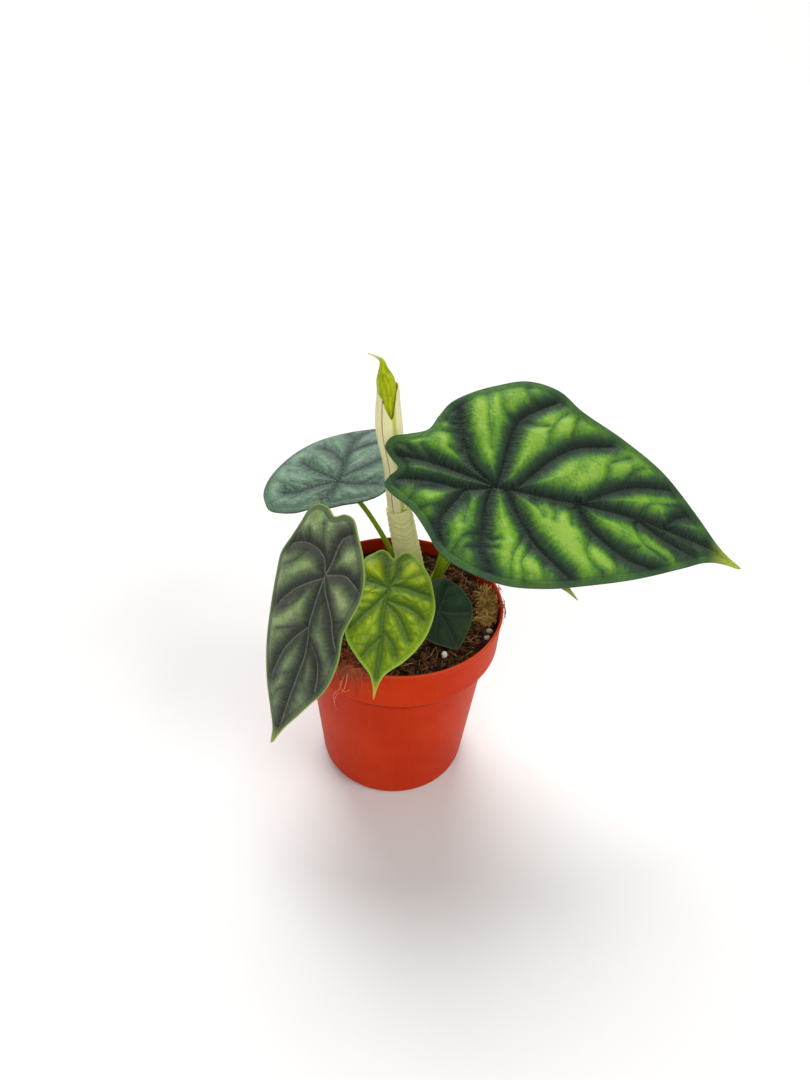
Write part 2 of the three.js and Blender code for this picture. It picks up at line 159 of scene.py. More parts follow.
def evenly(values, count):  # a smooth run of numbers through a few
    v = np.array([values[0], *values, values[-1]], float)
    t = np.linspace(0, len(values) - 1, count)
    i = np.minimum(t.astype(int), len(values) - 2)
    f = t - i
    a, b, c, d = v[i], v[i + 1], v[i + 2], v[i + 3]
    bow = (2 * a - 5 * b + 4 * c - d) * f ** 2 + (3 * b - a - 3 * c + d) * f ** 3
    return b + ((c - a) * f + bow) / 2


def angleOf(u, sides):  # round a closed grid, where the last column meets the first
    return 2 * np.pi * np.rint(u * sides) % (2 * np.pi * sides) / sides


def layerFor(bm, name, numbers):
    kinds = bm.verts.layers.float if numbers.ndim == 1 else bm.verts.layers.float_vector
    return kinds.get(name) or kinds.new(name)


def bend(bm, across, along, place):  # a flat grid, bent to the spots and values that place gives
    for name, numbers in place(np.zeros(1), np.zeros(1))[1].items():
        layerFor(bm, name, numbers)  # layers come before the grid, whose vertices a new layer would lose
    verts = bmesh.ops.create_grid(bm, x_segments=across, y_segments=along, size=0.5)["verts"]
    u = np.array([v.co.x for v in verts]) + 0.5
    v = np.array([v.co.y for v in verts]) + 0.5
    spots, values = place(u, v)
    for name, numbers in values.items():
        layer = layerFor(bm, name, numbers)
        for vert, number in zip(verts, numbers.tolist()):
            vert[layer] = number
    for vert, spot in zip(verts, (spots * mm).tolist()):
        vert.co = spot
    bmesh.ops.remove_doubles(bm, verts=verts, dist=1e-7)


def meshFrom(bm, name):
    mesh = bpy.data.meshes.new(name)
    bm.to_mesh(mesh)
    bm.free()
    return mesh


def added(name, data):
    made = bpy.data.objects.new(name, data)
    bpy.context.scene.collection.objects.link(made)
    return made


def finished(name, bm, finishes, node=None):
    mesh = meshFrom(bm, name)
    mesh.shade_smooth()
    piece = added(name, mesh)
    for finish in finishes:
        mesh.materials.append(finish)
    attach(piece, "root")
    if node:
        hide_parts(node)
    return piece


def thicken(piece, wall, backing=0):  # a wall behind the face; its back takes the material this far on
    modifier = piece.modifiers.new("thickness", "SOLIDIFY")
    modifier.thickness, modifier.offset, modifier.material_offset = wall * mm, -1, backing


def alongRoute(route, steps, under=None):  # points, directions and two square directions
    path = smoothPath(route, 8 * steps)
    if under:  # a blade's place and normal: the stem stops just below it
        path = path[(path - under[0]) @ under[1] < -under[2]]
    path = smoothPath(path[::4], steps + 1)
    heading = np.gradient(path, axis=0)
    heading /= np.linalg.norm(heading, axis=1)[:, None]
    square = [np.cross(heading[0], (0.3, 1, 0.1))]
    for direction in heading:
        last = square[-1] - direction * (square[-1] @ direction)
        square.append(last / np.linalg.norm(last))
    square = np.array(square[1:])
    return path, heading, square, np.cross(heading, square)


# A round stem along a route; its rows run from one closed end to the other
def stem(bm, route, radii, sides, steps, ends=(0.5, 0.5), under=None, relief=None, tone=0.0):
    path, heading, first, second = alongRoute(route, steps, under)
    size = evenly(radii, steps + 1)
    turns = np.array([0, 0.35, 0.65, 0.85])
    row = np.concatenate([np.zeros(4), np.arange(steps + 1), np.full(4, steps)]).astype(int)
    shrink = np.concatenate([np.sin(turns * np.pi / 2), np.ones(steps + 1), np.sin(turns[::-1] * np.pi / 2)])
    push = np.concatenate([
        -ends[0] * np.cos(turns * np.pi / 2), np.zeros(steps + 1), ends[1] * np.cos(turns[::-1] * np.pi / 2)])
    gone = lengthAlong(path)

    def place(u, v):
        k = np.rint(v * (len(row) - 1)).astype(int)
        i = row[k]
        angle = angleOf(u, sides)
        out = first[i] * np.cos(angle)[:, None] + second[i] * np.sin(angle)[:, None]
        radius = size[i] * shrink[k]
        if relief is not None:
            radius = radius + relief(out, gone[i], gone[i] / gone[-1]) * shrink[k]
        spots = path[i] + out * radius[:, None] + heading[i] * (push[k] * size[i])[:, None]
        grain = np.stack([size[i] * np.cos(angle), size[i] * np.sin(angle), gone[i]], 1)
        return spots, {"grain": grain, "up": gone[i] / gone[-1], "tone": np.full(len(u), tone)}

    bend(bm, sides, len(row) - 1, place)


print("camera, floor and lights")
view = {
    "elevation": 36.85, "roll": 2.8, "distance": 367.15, "aim": (1.77, 0, 141.68), "lens": 26, "sensor": 36,
}


def makeCamera():
    e, r = math.radians(view["elevation"]), math.radians(view["roll"])
    ahead = Vector((0, math.cos(e), -math.sin(e)))
    level, upright = Vector((1, 0, 0)), Vector((0, math.sin(e), math.cos(e)))
    right = math.cos(r) * level + math.sin(r) * upright
    up = math.cos(r) * upright - math.sin(r) * level
    at = (Vector(view["aim"]) - view["distance"] * ahead) * mm
    data = bpy.data.cameras.new("camera")
    data.lens, data.sensor_width = view["lens"], view["sensor"]
    data.clip_start, data.clip_end = 0.01, 20
    camera = added("camera", data)
    camera.matrix_world = Matrix.Translation(at) @ Matrix((right, up, -ahead)).transposed().to_4x4()
    bpy.context.scene.camera = camera


lamps = {  # where each soft light comes from, its strength and how wide it is
    "backTop": {"from": (-0.15, 0.75, 1), "power": 2.5, "wide": 40, "colour": (1, 1, 1)},
    "window": {"from": (1, -0.45, 0.9), "power": 1, "wide": 30, "colour": (1, 0.98, 0.95)},
    "front": {"from": (-0.1, -0.9, 0.6), "power": 0.78, "wide": 60, "colour": (1, 1, 1)},
}
sky = 0.29


def makeLight():
    for name, lamp in lamps.items():
        data = bpy.data.lights.new(name, "SUN")
        data.energy, data.angle, data.color = lamp["power"], math.radians(lamp["wide"]), lamp["colour"]
        added(name, data).rotation_euler = (-Vector(lamp["from"])).to_track_quat("-Z", "Y").to_euler()
    world = bpy.data.worlds.new("studio")
    world.use_nodes = True
    background = world.node_tree.nodes["Background"].inputs
    background["Color"].default_value, background["Strength"].default_value = (1, 1, 1, 1), sky
    world.cycles_visibility.glossy = False
    bpy.context.scene.world = world
    bpy.context.scene.view_settings.view_transform = "Standard"


def makeFloor():
    bm = bmesh.new()
    bmesh.ops.create_grid(bm, x_segments=8, y_segments=8, size=30)
    floor = added("floor", meshFrom(bm, "floor"))
    f = Finish("pale floor")
    colour = f.mix(f.cloud(f.place(), 0.02, 3), (0.83, 0.83, 0.82), (0.86, 0.86, 0.85))
    floor.data.materials.append(f.give(colour, 0.7))


makeCamera()
makeLight()
makeFloor()


print("pot")
pot = {
    "height": 104.4, "rim": 52.5, "lip": 1.6, "lipRound": 0.3, "band": 51.5, "bandHeight": 21.6,
    "bandRound": 0.8, "bandStep": 1.6, "bodyTop": 46.6, "base": 39.3, "baseEdge": 4, "wall": 1.3,
    "sides": 160, "cornerRound": 0.9, "holes": 6, "hole": 4, "holeCircle": 27, "drill": 8,
    "colour": (0.58, 0.038, 0.004), "pale": (0.63, 0.052, 0.008), "deep": (0.5, 0.026, 0.002),
    # shade is the colour of the painted shadow under the collar's ledge, and the colour after rimTop a
    # painted highlight along the ledge's edge
    "shade": (0.26, 0.008, 0.001), "rimTop": (0.68, 0.1, 0.035), "paintedLedgeHighlight": (0.7, 0.09, 0.03),
    "dust": (0.7, 0.3, 0.2),
}


def roundCorners(points, radius, steps=4):
    done = [points[0]]
    for a, b, c in zip(points, points[1:], points[2:]):
        a, b, c = (np.array(p, float) for p in (a, b, c))
        reach = min(radius, np.linalg.norm(a - b) * 0.45, np.linalg.norm(c - b) * 0.45)
        start = b + (a - b) / np.linalg.norm(a - b) * reach
        end = b + (c - b) / np.linalg.norm(c - b) * reach
        for t in np.linspace(0, 1, steps):
            done.append(tuple(start * (1 - t) ** 2 + 2 * b * t * (1 - t) + end * t ** 2))
    return done + [points[-1]]


def potInside():
    p = pot
    band = p["height"] - p["bandHeight"] + p["wall"]
    return [
        (p["rim"] - p["wall"] - p["lipRound"], p["height"] - p["lip"]),
        (p["band"] - p["wall"], band + p["bandRound"]),
        (p["band"] - p["wall"] - p["bandRound"], band), (p["bodyTop"] - p["wall"], band - p["bandStep"]),
        (p["base"] - p["wall"], p["baseEdge"] + p["wall"]), (p["base"] - p["baseEdge"], p["wall"]),
    ]


def potProfile():
    p = pot
    band = p["height"] - p["bandHeight"]
    outside = [
        (p["base"] - p["baseEdge"], 0), (p["base"] - 0.6, 0.8), (p["base"], p["baseEdge"]),
        (p["bodyTop"], band - p["bandStep"]),
        (p["band"] - p["bandRound"], band), (p["band"], band + p["bandRound"]),
        (p["rim"] - p["lipRound"] - 0.2, p["height"] - p["lip"] - 1.4), (p["rim"], p["height"] - p["lip"]),
        (p["rim"] - 0.1, p["height"] - 0.2), (p["rim"] - p["wall"], p["height"]),
    ]
    return roundCorners([(0, 0), *outside, *potInside(), (0, p["wall"])], p["cornerRound"])


def cut(piece, cutter):
    modifier = piece.modifiers.new("cut", "BOOLEAN")
    modifier.object = cutter
    shape = bpy.data.meshes.new_from_object(piece.evaluated_get(bpy.context.evaluated_depsgraph_get()))
    piece.modifiers.clear()
    old, piece.data = piece.data, shape
    bpy.data.meshes.remove(old)
    bpy.data.objects.remove(cutter)


def makePot():
    f = Finish("terracotta plastic", 0.04)
    at = f.place()
    cloudy = f.cloud(at, 0.03, 4, 0.55)
    colour = f.mix(f.ease(cloudy, 0.3, 0.7), pot["colour"], pot["deep"])
    drawn = f.cloud(f.place((0.5, 0.5, 0.03)), 1, 3, 0.6)  # faint upright marks of the mould
    colour = f.mix(f.ease(drawn, 0.5, 0.8, 0, 0.35), colour, pot["pale"])
    height = f.node("ShaderNodeSeparateXYZ", inputs={0: at}, output=2)
    # paler towards the top of the lip
    paleLip = f.ease(height, pot["height"] - 1.2, pot["height"] - 0.2, 0, 0.55)
    colour = f.mix(paleLip, colour, pot["rimTop"])
    ledge = pot["height"] - pot["bandHeight"]
    # painted shadow on the body just below the collar's ledge
    dim = f.ease(height, ledge - 9, ledge - 4.5, 0, 0.9) ** 1.6 * f.ease(height, ledge - 0.5, ledge, 1, 0)
    colour = f.mix(dim, colour, pot["shade"])
    # painted highlight along the ledge's edge
    colour = f.mix(f.ease((height - ledge - 0.7).size(), 0.2, 0.9, 0.3, 0), colour, pot["paintedLedgeHighlight"])
    dust = f.ease(f.cloud(at, 0.9, 2, 0.6), 0.74, 0.8)
    colour = f.mix(dust * 0.55, colour, pot["dust"])
    scuff = f.ease(f.cloud(f.place((0.25, 0.25, 1.2)), 0.6, 4, 0.7), 0.62, 0.78)
    rough = f.cloud(at, 0.25, 3) * 0.12 + 0.38 + scuff * 0.1
    tiny = f.bump(f.cloud(at, 1.6, 3, 0.6), 0.035, f.bump(cloudy, 0.25))
    finish = f.give(colour, rough, tiny)
    bm = bmesh.new()
    line = [bm.verts.new((r * mm, 0, z * mm)) for r, z in potProfile()]
    edges = [bm.edges.new(pair) for pair in zip(line, line[1:])]
    bmesh.ops.spin(bm, geom=line + edges, cent=(0, 0, 0), axis=(0, 0, 1), angle=2 * math.pi,
                   steps=pot["sides"], use_merge=True)
    bmesh.ops.remove_doubles(bm, verts=bm.verts, dist=1e-6)
    bmesh.ops.recalc_face_normals(bm, faces=bm.faces)
    piece = finished("potShell", bm, [finish], "pot")
    drills = bmesh.new()
    for k in range(pot["holes"]):
        angle = 2 * math.pi * (k + 0.5) / pot["holes"]
        spot = pot["holeCircle"] * mm * Vector((math.cos(angle), math.sin(angle), 0))
        radius, depth = pot["hole"] * mm, pot["drill"] * mm
        bmesh.ops.create_cone(drills, cap_ends=True, segments=32, radius1=radius, radius2=radius, depth=depth,
                              matrix=Matrix.Translation(spot))
    cut(piece, added("drills", meshFrom(drills, "drills")))
    piece.data.shade_smooth()


makePot()


print("leaves")
bigLeaf = {
    "at": (40.7, -6.7, 178), "heading": -7, "pitch": 8, "roll": 34,
    "tipDroop": 0.12, "lobeDroop": 0.1, "sideDroop": 0.03, "fold": 0.05,
    "quilt": 2.2, "veinWidth": 6, "around": 420, "rings": 108,
    "outline": [
        (117, -4.3), (110, -1), (105, 2), (91, 14), (73, 28), (52, 38), (31, 46), (19, 53), (4, 54),
        (-10, 48), (-20, 42), (-28, 35), (-32, 27), (-35, 20), (-43, 16), (-50, 13), (-52, 8),
        (-48, 3), (-44, -1), (-47, -6), (-48, -10), (-45, -13), (-34, -19), (-25, -28), (-18, -36),
        (-5, -41), (12, -43), (29, -40), (46, -34), (67, -25), (89, -13), (98, -7.7), (104, -5.6),
        (110, -4.8)],
    "veins": [
        [(117, -4.3), (105, -0.5), (93, 1), (78, 2), (58, 3), (39, 2), (19, 1), (0, 0)],
        [(0, 0), (-11, 2), (-32, 5), (-46, 5)], [(0, 0), (-13, -4), (-29, -4), (-46, -6)],
        [(-2, 1), (-12, 7), (-20, 20), (-24, 34)], [(0, 0), (1, 10), (2, 26), (4, 34), (12, 42), (19, 47)],
        [(8, 1), (15, 11), (24, 22), (32, 28), (47, 33)], [(38, 2), (45, 8), (54, 14), (63, 18), (77, 21)],
        [(78, 2), (81, 8), (89, 12)], [(-13, -4), (-18, -14), (-21, -21), (-20, -30)],
        [(-2, 0), (-3, -10), (-2, -20), (-1, -30), (4, -39)],
        [(4, 0), (13, -13), (21, -22), (30, -28), (38, -33)],
        [(36, 2), (42, -7), (52, -13), (62, -17), (76, -18)], [(65, 2), (78, -3), (91, -6)]],
    "veinlets": [
        [(-22, 25), (-26, 25), (-30, 27)], [(-20, 20), (-23, 21), (-27, 20), (-29, 20)],
        [(-16, 13), (-20, 12), (-24, 13)], [(-12, 41), (-11, 36), (-10, 30), (-7, 22), (-6, 17)],
        [(-6, 44), (-5, 39), (-3, 35), (2, 33)], [(-2, -24), (-5, -24), (-9, -26), (-11, -29), (-13, -34)],
        [(-1, -24), (2, -25), (5, -24)], [(-1, -29), (-5, -30), (-8, -31), (-9, -34)],
        [(-1, -29), (5, -28)], [(-25, -6), (-32, -8), (-35, -12), (-37, -16)],
        [(-18, -15), (-24, -15), (-29, -17), (-32, -19)], [(-12, -9), (-11, -14), (-11, -20)],
        [(-46, 11), (-43, 10), (-40, 8)], [(-29, 5), (-33, 8), (-36, 11)],
        [(5, 50), (6, 46), (8, 43), (8, 39)], [(19, 25), (18, 30), (20, 35), (22, 39), (25, 42)],
        [(7, 33), (11, 32), (17, 33)], [(30, 27), (29, 32), (29, 37), (30, 41)],
        [(47, 12), (47, 18), (47, 23), (51, 26), (56, 29)], [(57, 16), (58, 21), (60, 24), (63, 26)],
        [(45, -11), (43, -17), (43, -21), (47, -25), (52, -27)],
        [(20, -23), (17, -29), (16, -32), (18, -37), (19, -40)],
        [(16, -19), (14, -24), (12, -30), (12, -34), (13, -39)], [(27, -35), (26, -31), (28, -29)],
        [(17, -2), (20, -6), (22, -9)], [(26, -2), (27, -5), (27, -9)], [(33, 0), (34, -5), (35, -9)],
        [(64, 3), (66, 7), (70, 11), (75, 12), (83, 14), (86, 13)], [(77, 2), (80, 5), (82, 9), (87, 12)],
        [(63, 0), (65, -5), (68, -9), (74, -11), (80, -13)], [(77, 0), (80, -3), (82, -6), (85, -10)],
        [(89, 0), (91, -3), (94, -5)], [(57, -16), (57, -20), (58, -24)], [(59, -15), (63, -12), (66, -11)],
        [(85, 0), (87, -2), (89, -5)]],
    "veinletDepth": 1.25, "puff": 1.75, "tipFrom": 100, "tipTo": 111, "band": 3.4,
    "petiole": [(18.5, 10.5, 90), (19, 10, 112), (22, 8, 132), (29, 3, 153), (37, -3, 169), (41, -7, 178)],
    "foot": 2.3, "neck": 1.7,
}
frontLeaf = {
    "at": (-32.9, -27.9, 141), "heading": -127.6, "pitch": 57, "roll": 4,
    "tipDroop": 0.15, "lobeDroop": 0.3, "sideDroop": 0.45, "fold": 0.05,
    "quilt": 1.1, "veinWidth": 4.5, "around": 320, "rings": 78,
    "outline": [
        (88, -2), (82, 1), (76, 4), (66, 10), (57, 15), (48, 20), (39, 22), (30, 22), (20, 20), (11, 21),
        (3, 22), (-4, 21), (-9, 19), (-16, 14), (-22, 8), (-28, 1), (-28, -4), (-25, -9), (-27, -15),
        (-26, -22), (-21, -26), (-15, -27), (-7, -29), (3, -32), (12, -30), (27, -26), (44, -21),
        (60, -14), (72, -7), (80, -3)],
    "veins": [
        [(88, -2), (82, -0.5), (74.5, 1.4), (61.7, 2.6), (46.6, 3.9), (37.4, 4.4), (29.9, 3.2), (24.6, 1.3),
         (18.1, 0.7), (7.2, 0.2), (0, 0)],
        [(0, 0), (-6.9, -4.9), (-8.7, -14.8), (-6.6, -22.1), (-3.6, -26.9)],
        [(0, 0), (-6.6, 1), (-12.5, 0.7), (-18.2, 1.2), (-22.1, 5.8)],
        [(1.4, 0.1), (7.7, -7.9), (14.2, -14.5), (23.8, -21.2)],
        [(25.5, 0.8), (33.2, -4.3), (41.8, -8.6), (55.3, -11.6)],
        [(0, 0), (-1.5, 3.8), (-4.2, 10.1), (-3, 15.1), (-0.7, 20.3)],
        [(1, 0.2), (5.9, 2.8), (11.4, 7.9), (15.7, 11.5), (21.9, 15), (28.6, 19.6)],
        [(30.4, 3.4), (32.9, 8.2), (36.4, 12), (43.2, 14.6), (50.4, 15.4)]],
    "veinlets": [
        [(-5.4, -15.4), (-1.6, -16.9), (2.4, -20.3), (6.9, -26)], [(25.6, 0), (29, -6.1), (34.6, -15.7)],
        [(-10.2, 17.7), (-5.2, 16.1)], [(48.7, 1.3), (52.4, -5.2), (58.1, -9.5)],
        [(55.4, 2.1), (60.3, -4.1), (64.9, -6.2)], [(-14.6, -18.7), (-9.2, -15.1)],
        [(-19.4, -11.5), (-8.7, -5.1)], [(17.9, 13.2), (14.7, 17.6)], [(12, -8), (18, -10), (24, -16)],
        [(40, 4), (46, 8), (52, 10)], [(66, 2), (70, -3)], [(9, 6), (14, 4), (22, 7)]],
    "veinletDepth": 0.7, "puff": 1.6, "tipFrom": 78, "tipTo": 86, "band": 2.6,
    "petiole": [(2.6, 9.5, 90), (1, 8, 104), (-5, 2, 115), (-16, -9, 125), (-25, -19, 134), (-34, -29, 142)],
    "foot": 1.7, "neck": 1.4,
}
backLeaf = {
    "at": (-33.3, 35.3, 150), "heading": 73, "pitch": -12, "roll": -9,
    "tipDroop": 0.45, "lobeDroop": 0.3, "sideDroop": 0.2, "fold": 0.05,
    "quilt": 1.3, "veinWidth": 4.5, "around": 320, "rings": 72,
    "outline": [
        (76, 2), (70, 5), (62, 11), (50, 20), (38, 28), (24, 34), (8, 38), (-4, 39), (-13, 37), (-19, 33),
        (-23, 29), (-24, 22), (-23, 14), (-20, 8), (-16, 3), (-18, -1), (-15, -9), (-12, -17), (-7, -24),
        (0, -28), (10, -31), (24, -30), (38, -24), (50, -15), (62, -6), (70, 0)],
    "veins": [
        [(76, 2), (60, 7), (39, 8), (25, 5), (13, 2), (0, 0)], [(0, 0), (-5, 0), (-13, 2)],
        [(-1, 1), (-6, 11), (-11, 18), (-12, 26)], [(0, 0), (4, 10), (7, 18), (12, 26)],
        [(-1, 0), (-1, -11), (1, -22)], [(2, 0), (8, -5), (16, -12), (23, -16)],
        [(13, 2), (23, 13), (28, 23)], [(25, 5), (36, -2), (44, -10)], [(39, 8), (46, 14), (50, 16)]],
    "veinletEvery": 6, "veinletDepth": 0.35, "puff": 1.6, "tipFrom": 66, "tipTo": 74, "band": 2.6,
    "petiole": [(2.3, 15, 90), (0, 17, 108), (-8, 22, 124), (-19, 28, 139), (-28, 33, 147), (-34, 36, 152)],
    "foot": 1.5, "neck": 1.25,
}
youngLeaf = {
    "at": (-4.4, -21.8, 131), "heading": -95.5, "pitch": 24, "roll": 0,
    "tipDroop": 0.3, "lobeDroop": 0.3, "sideDroop": -0.3, "fold": 0.1,
    "quilt": 0.9, "veinWidth": 3.5, "around": 300, "rings": 72,
    "outline": [
        (51, 0), (46, 1), (41, 3), (38, 6), (35, 10), (31, 14), (27, 17), (21, 20), (10, 22), (0, 20),
        (-6, 18), (-11, 15), (-15, 12), (-19, 7), (-18, 3), (-15, 0), (-18, -3), (-19, -6), (-16, -10),
        (-13, -13), (-3, -16), (6, -17), (15, -18), (22, -17), (28, -15), (34, -10), (38, -6), (41, -3),
        (46, -1)],
    "veins": [
        [(51, 0), (43, 0), (29, 0), (11, -1), (0, 0)], [(0, 0), (-6, 3), (-13, 3), (-17, 5)],
        [(0, 0), (-7, -2), (-14, -3), (-17, -6)], [(0, 0), (0, 7), (2, 13), (4, 20)],
        [(7, 0), (9, 8), (12, 14), (15, 17)], [(9, 0), (13, 5), (21, 10), (25, 12)],
        [(1, 0), (0, -4), (-1, -9), (-1, -12)], [(4, -1), (10, -5), (16, -10), (22, -14)],
        [(22, 0), (27, 5), (32, 7)], [(24, 0), (30, -5), (33, -7)]],
    "veinletEvery": 7, "veinletDepth": 0.35, "puff": 1.6, "tipFrom": 42, "tipTo": 49, "band": 1.8,
    "petiole": [(7.3, 5, 90), (7, 1, 104), (5, -7, 116), (1, -15, 125), (-3, -20, 129.5), (-5.5, -23.5, 133)],
    "foot": 1.4, "neck": 1.1,
}
smallLeaf = {
    "at": (19.1, -16.7, 113), "heading": -48, "pitch": 35, "roll": 18,
    "tipDroop": 0.3, "lobeDroop": 0.2, "sideDroop": 0.3, "fold": 0.05,
    "quilt": 0.5, "veinWidth": 2.5, "around": 200, "rings": 44,
    "outline": [
        (20, -1), (16, 7), (12, 12), (6, 16), (-2, 16), (-8, 14), (-13, 10), (-14, 5), (-11, 1),
        (-13, -4), (-11, -9), (-5, -12), (3, -13), (10, -11), (16, -6)],
    "veins": [
        [(20, -1), (9, 0), (0, 0)], [(0, 0), (5, 7), (8, 13)], [(0, 0), (-5, 7), (-8, 11)],
        [(0, 0), (6, -5), (11, -8)], [(0, 0), (-3, -6), (-5, -10)]],
    "veinletEvery": 4, "veinletDepth": 0.15, "puff": 1.6, "tipFrom": 18, "tipTo": 21, "band": 1,
    "petiole": [(13, 5, 90), (14, 1, 101), (16, -7, 107.5), (18, -13, 111), (20, -19, 114.5)],
    "foot": 1.1, "neck": 0.9,
}


def mirrored(path):
    return [(x, -y) for x, y in path]


hiddenHalf = [
    (55.5, 0), (52, 0.6), (48, 1.4), (44, 3.5), (38, 9), (28, 15), (15, 19), (4, 19), (-6, 17), (-13, 13),
    (-18, 8), (-19, 4), (-15, 0)]
hiddenSides = [
    [(0, 0), (-8, 3), (-16, 5)], [(0, 0), (2, 9), (8, 16)], [(14, 0), (21, 8), (30, 13)],
    [(33, 0), (38, 5), (43, 7)]]
hiddenLeaf = {
    "at": (46.8, 22.4, 140), "heading": -50.6, "pitch": 8, "roll": 25,
    "tipDroop": 0.3, "lobeDroop": 0.3, "sideDroop": 0.3, "fold": 0.05,
    "quilt": 0.7, "veinWidth": 3.5, "around": 200, "rings": 48,
    "outline": hiddenHalf + mirrored(hiddenHalf[-2:0:-1]),
    "veins": [[(55.5, 0), (38, 0), (0, 0)], *(v for side in hiddenSides for v in (side, mirrored(side)))],
    "veinletEvery": 5, "veinletDepth": 0.3, "puff": 1.6, "tipFrom": 44, "tipTo": 52, "band": 1.8,
    "petiole": [
        (17.5, 14.8, 90), (19, 15, 104), (25, 16, 118), (33, 18.5, 130), (42, 21, 137), (49, 23, 142)],
    "foot": 1.25, "neck": 1.05,
}


def nearest(paths, x, y):  # distance to each path; then the place along the nearest one and the way off it
    distances = np.empty((len(paths), len(x)))
    along, least, off = np.zeros_like(x), np.full_like(x, 1e9), np.zeros((len(x), 2))
    for k, path in enumerate(paths):
        best, gone = np.full_like(x, 1e9), 0
        for (ax, ay), (bx, by) in zip(path, path[1:]):
            dx, dy = bx - ax, by - ay
            long = math.hypot(dx, dy)
            share = np.clip(((x - ax) * dx + (y - ay) * dy) / long ** 2, 0, 1)
            fromX, fromY = x - ax - share * dx, y - ay - share * dy
            away = np.hypot(fromX, fromY)
            near = away < np.minimum(best, least)
            along[near] = (gone + share * long + 37 * k)[near]
            off[near] = np.stack([fromX, fromY], 1)[near] / (away[near, None] + 1e-6)
            best = np.minimum(best, away)
            gone += long
        distances[k] = best
        least = np.minimum(least, best)
    return distances, along, off


def clearance(paths, at):
    starts = np.vstack([p[:-1] for p in paths])
    ends = np.vstack([p[1:] for p in paths])
    way = ends - starts
    share = np.clip(((at - starts) * way).sum(1) / (way ** 2).sum(1), 0, 1)
    return np.hypot(*(at - starts - share[:, None] * way).T).min()


# Small veins leave the main ones on both sides and bow towards the tip of the vein they came from
def growVeinlets(leaf, veins, rim, seed):
    luck = random.Random(seed)
    grown = []
    for k, vein in enumerate(veins):
        count = int(lengthAlong(vein)[-1] / leaf["veinletEvery"])
        spots = smoothPath(vein[::-1] if k == 0 else vein, count * 4 + 5)
        others = [v for v in veins if v is not vein]
        for j in range(2, len(spots) - 2, 4):
            for hand in (1, -1):
                ahead = spots[j + 1] - spots[j - 1]
                turn = math.atan2(ahead[1], ahead[0]) + hand * math.radians(luck.uniform(52, 72))
                at, path = spots[min(j + luck.randint(-1, 1), len(spots) - 1)], []
                for _ in range(9):
                    path.append(tuple(at))
                    at = at + 1.6 * np.array([math.cos(turn), math.sin(turn)])
                    turn -= hand * math.radians(luck.uniform(1, 9))
                    if clearance(others, at) < 1.6 or clearance([rim], at) < leaf["band"]:
                        break
                if len(path) > 2:
                    grown.append(path)
    return grown


def leafTurn(leaf):
    return np.array(Euler([math.radians(leaf[k]) for k in ("roll", "pitch", "heading")]).to_matrix())


blade = {  # what every blade shares; "near" values are how wide a feature spreads from its line
    "wall": 0.9, "stalkGap": 1.4, "stalkFlare": 1.25, "ringSpread": 0.85, "foldRound": 8, "rimNear": 1.6,
    "veinletNear": 2, "bandNear": 1.1, "bandDepth": 0.6, "creaseNear": 0.9, "creaseDepth": 0.5,
    "sky": (-0.1, 0.6, 0.8),  # towards the light that the veins' slopes take or lose
}


def bladeLayout(leaf, seed):
    outline = smoothPath(leaf["outline"], leaf["around"], closed=True)
    rim = np.vstack([outline, outline[:1]])
    veins = [smoothPath(v, max(6, int(lengthAlong(v)[-1] / 2.5))) for v in leaf["veins"]]
    if "veinlets" in leaf:
        veinlets = [smoothPath(v, 10) for v in leaf["veinlets"]]
    else:
        veinlets = growVeinlets(leaf, veins, rim[::3], seed)
    turn = leafTurn(leaf)
    uphill = (turn.T @ np.array(blade["sky"]))[:2]  # the sky as the flat blade sees it
    depth, band, foldRound = leaf["veinletDepth"], leaf["band"], blade["foldRound"]

    def place(u, v):
        reach = (1 - v) ** blade["ringSpread"]
        i = np.rint(u * leaf["around"]).astype(int) % leaf["around"]
        x, y = outline[i, 0] * reach, outline[i, 1] * reach
        distances, along, off = nearest(veins, x, y)
        away = distances.min(axis=0)
        distances, _, sideways = nearest(veinlets, x, y)
        veinlet = distances.min(axis=0)
        edge = nearest([rim], x, y)[0][0]
        height = -np.where(x > 0, leaf["tipDroop"], leaf["lobeDroop"]) * x ** 2 / 100
        height += leaf["fold"] * (np.hypot(y, foldRound) - foldRound) - leaf["sideDroop"] * y ** 2 / 100
        rise = 1 - np.exp(-(edge / band / blade["rimNear"]) ** 2)
        height += leaf["puff"] * leaf["quilt"] * rise * (1 - np.exp(-(away / leaf["veinWidth"]) ** 2))
        inner = np.clip((edge - 0.4 * band) / band, 0, 1)
        height -= depth * np.exp(-(veinlet / blade["veinletNear"]) ** 2) * inner * np.clip(away / 3, 0, 1)
        height -= blade["bandDepth"] * depth * np.exp(-((edge - band) / blade["bandNear"]) ** 2)
        height -= blade["creaseDepth"] * depth * np.exp(-(away / blade["creaseNear"]) ** 2) * inner
        # painted shade and sheen: positive beside a vein or veinlet where the cell's slope faces away from
        # the sky light, negative where it faces it
        shaded = off @ uphill * np.exp(-2 * away / leaf["veinWidth"])
        shaded += 0.7 * sideways @ uphill * inner * np.exp(-veinlet / 1.2) * np.clip(away / 4, 0, 1)
        spots = np.stack([x, y, height], 1) @ turn.T + np.array(leaf["at"])
        tip = np.clip((x - leaf["tipFrom"]) / (leaf["tipTo"] - leaf["tipFrom"]), 0, 1)
        return spots, {
            "veinAway": away, "veinAlong": along, "veinletAway": veinlet, "edgeAway": edge, "tip": tip,
            "shaded": shaded, "flat": np.stack([x, y, height], 1)}

    return place


